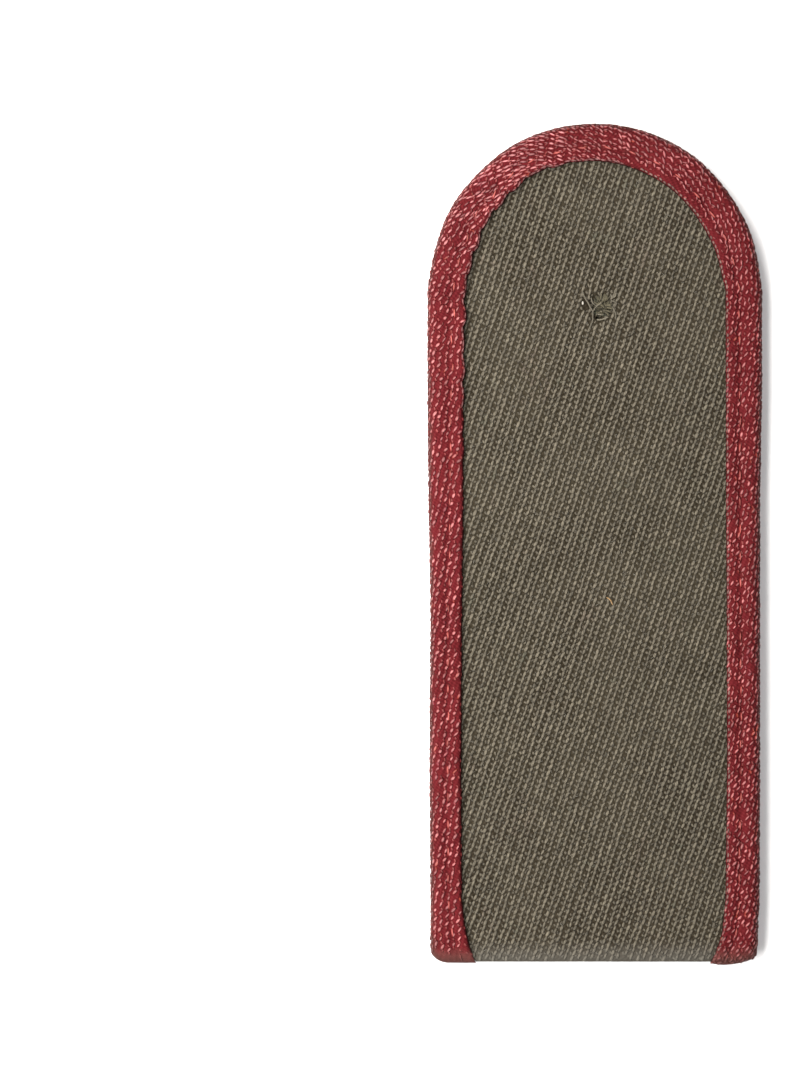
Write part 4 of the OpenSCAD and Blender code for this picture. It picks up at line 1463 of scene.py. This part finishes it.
tonguePitch = tongue["weavePitch"]
tongueColumns = math.ceil((tongueHigh.x - tongueLow.x) / tonguePitch) + 1
tongueRows = math.ceil((tongueHigh.y - tongueLow.y) / (2 * tonguePitch) + tongueColumns / 2) + 1
tongueFloats = []
for name, shift, lean, seed in (("tongue_warp", 0, 0.0, 83), ("tongue_weft", tonguePitch, 90.0, 84)):
    start = (tongueLow.x, tongueLow.y + shift - tonguePitch * tongueColumns)
    tongueFloats.append(layFloats(
        tongueGround, name, tongueYarn, Start=start, Column_Step=(tonguePitch, tonguePitch),
        Row_Step=(0.0, 2 * tonguePitch), Columns=tongueColumns, Rows=tongueRows, Width=0.46, Length=0.86,
        Height=0.24, Lean=lean, Lean_Spread=4.0, Size_Spread=0.10, Place_Spread=0.03, Rings=3,
        Least_Gap=0.15, Seed=seed))
pierce(tongueGround, tongue["holeRadius"], tongue["holeRaggedness"], 9)


def stitchLines(corners):
    # Running stitches along a path on the underside, each a short thread that dives in at both ends.
    path = np.array(corners, float)
    steps = np.linalg.norm(np.diff(path, axis=0), axis=1)
    runs = np.concatenate([[0.0], np.cumsum(steps)])
    pitchWanted = tongue["stitchLength"] + tongue["stitchGap"]
    count = round(runs[-1] / pitchWanted)
    pitchUsed = runs[-1] / count
    radius = tongue["threadRadius"]
    lines = []
    for number in range(count):
        start = (number + 0.5) * pitchUsed - tongue["stitchLength"] / 2
        line = []
        for share, height in ((0.0, 0.35), (0.12, 0.02), (0.5, 0.0), (0.88, 0.02), (1.0, 0.35)):
            run = start + share * tongue["stitchLength"]
            x, y = [float(np.interp(run, runs, path[:, axis])) for axis in (0, 1)]
            line.append((x, y, tongueLow.z + radius + height))
        lines.append((line, 1.0, chances(draw, -1, 1)))
    return lines


# a hem round the free part, a sewn box at the fixed end, and a worked eyelet
hemHalf = (tongueHigh.x - tongueLow.x) / 2 - tongue["hemInset"]
hemRoundY = tongueHigh.y - (tongueHigh.x - tongueLow.x) / 2
hemLow = tongueLow.y + tongue["hemStart"]
hemTurns = [math.pi * i / tongue["hemSteps"] for i in range(tongue["hemSteps"] + 1)]
hem = [(hemHalf, hemLow)] + [(hemHalf * math.cos(t), hemRoundY + hemHalf * math.sin(t)) for t in hemTurns]
hem.append((-hemHalf, hemLow))
boxLow = tongueLow.y + tongue["padInset"]
boxHigh = boxLow + tongue["padLength"]
seamPaths = [
    hem, [(-hemHalf, boxLow), (hemHalf, boxLow)], [(-hemHalf, boxHigh), (hemHalf, boxHigh)],
    [(hemHalf, boxLow), (hemHalf, boxHigh)], [(-hemHalf, boxLow), (-hemHalf, boxHigh)],
]
threadLines = [line for corners in seamPaths for line in stitchLines(corners)]
for number in range(tongue["eyeletStitches"]):
    turn = 2 * math.pi * (number + draw.uniform(-0.15, 0.15)) / tongue["eyeletStitches"]
    reach = tongue["eyeletReach"] * draw.uniform(0.96, 1.04)
    line = []
    middle = (1.1 + reach) / 2
    for away, height in ((1.0, 0.5), (1.1, 0.05), (middle, 0.0), (reach - 0.08, 0.03), (reach, 0.3)):
        x, y = holeX + away * math.cos(turn), holeY + away * math.sin(turn)
        line.append((x, y, tongueLow.z + tongue["threadRadius"] + height))
    threadLines.append((line, 0.95, chances(draw, -1, 1)))
tongueThreads = drawYarns(
    "tongue_threads", threadLines, tongueThread, radius=tongue["threadRadius"], steps=9, sides=6, facing=-1.0)

# What carries and replaces what.

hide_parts("cloth_board")
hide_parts("edge_braid")
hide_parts("fastening_tongue")
braidFloats = [*strokes, returns, *selvage, seam]
slots = {
    "twill_cloth": [boardGround, *twillFloats, hairs, holeFrays, holeEnds, holeFuzz, lint, fleck],
    "red_braid": [braidGround, *braidFloats],
    "tongue_cloth": [tongueGround, *tongueFloats, tongueThreads],
}
for slotName, members in slots.items():
    for piece in members:
        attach(piece, "root")
print("pieces riding")

# Stage, light and camera.

stage = {
    "floorSize": 3.0, "floorDrop": 0.0001, "floorColour": (0.96, 0.96, 0.955, 1),
    "driftColour": (0.93, 0.93, 0.93, 1), "driftSize": 0.05, "driftDepth": 0.02,
}


def makeFloor():
    half = stage["floorSize"] / 2 / mm
    z = braidLow.z - stage["floorDrop"] / mm
    points = [(-half, -half, z), (half, -half, z), (half, half, z), (-half, half, z)]
    floor = makeObject("floor", points, [[0, 1, 2, 3]])
    material, tree, shader = startMaterial("pale floor", Specular_IOR_Level=0.1)
    place = addNode(tree, "ShaderNodeTexCoord").outputs["Object"]
    drift = placeGroup(tree, patches, Vector=place, Size=stage["driftSize"])["Value"]
    share = calc(tree, "MULTIPLY", drift, stage["driftDepth"])
    colour = mixColour(tree, share, stage["floorColour"], stage["driftColour"])
    feed(tree, shader.inputs["Base Color"], colour)
    feed(tree, shader.inputs["Roughness"], rampValue(tree, drift, 0.0, 1.0, 0.85, 0.9))
    floor.data.materials.append(material)


def addLight(name, place, aim, size, power, colour):
    data = bpy.data.lights.new(name, "AREA")
    data.shape = "RECTANGLE"
    data.size, data.size_y = size
    data.energy = power
    data.color = colour
    light = bpy.data.objects.new(name, data)
    light.location = place
    light.visible_camera = False
    direction = np.array(aim) - np.array(place)
    flat = math.hypot(direction[0], direction[1])
    heading = math.atan2(direction[1], direction[0]) - math.pi / 2
    light.rotation_euler = (math.atan2(flat, -direction[2]), 0, heading)
    bpy.context.scene.collection.objects.link(light)


def makeWorld(colour, strength):
    world = bpy.data.worlds.new("studio")
    world.use_nodes = True
    background = world.node_tree.nodes["Background"]
    background.inputs["Color"].default_value = colour
    background.inputs["Strength"].default_value = strength
    bpy.context.scene.world = world


def makeCamera():
    # Straight down, as in the photograph, which has the board right of its middle.
    view = {"lens": 135.0, "sensor": 36.0, "pictureHeight": 142.45, "centreX": -26.2, "centreY": 1.6}
    data = bpy.data.cameras.new("camera")
    data.lens = view["lens"]
    data.sensor_width = view["sensor"]
    data.clip_start, data.clip_end = 0.01, 10.0
    camera = bpy.data.objects.new("camera", data)
    distance = view["pictureHeight"] * view["lens"] / view["sensor"]
    camera.location = (view["centreX"] * mm, view["centreY"] * mm, (braidHigh.z + distance) * mm)
    bpy.context.scene.collection.objects.link(camera)
    bpy.context.scene.camera = camera


makeFloor()
# a long soft strip close by on the left, and a broad weak fill
addLight("strip", (-0.095, 0.012, 0.155), (0, 0, 0), (0.36, 0.11), 1.43, (1.0, 0.985, 0.96))
addLight("fill", (0.35, -0.20, 0.70), (0, 0, 0), (0.60, 0.60), 1.6, (0.96, 0.98, 1.0))
makeWorld((1.0, 1.0, 1.0, 1), 0.36)
makeCamera()
bpy.context.scene.view_settings.view_transform = "Standard"
print("stage, light and camera set")
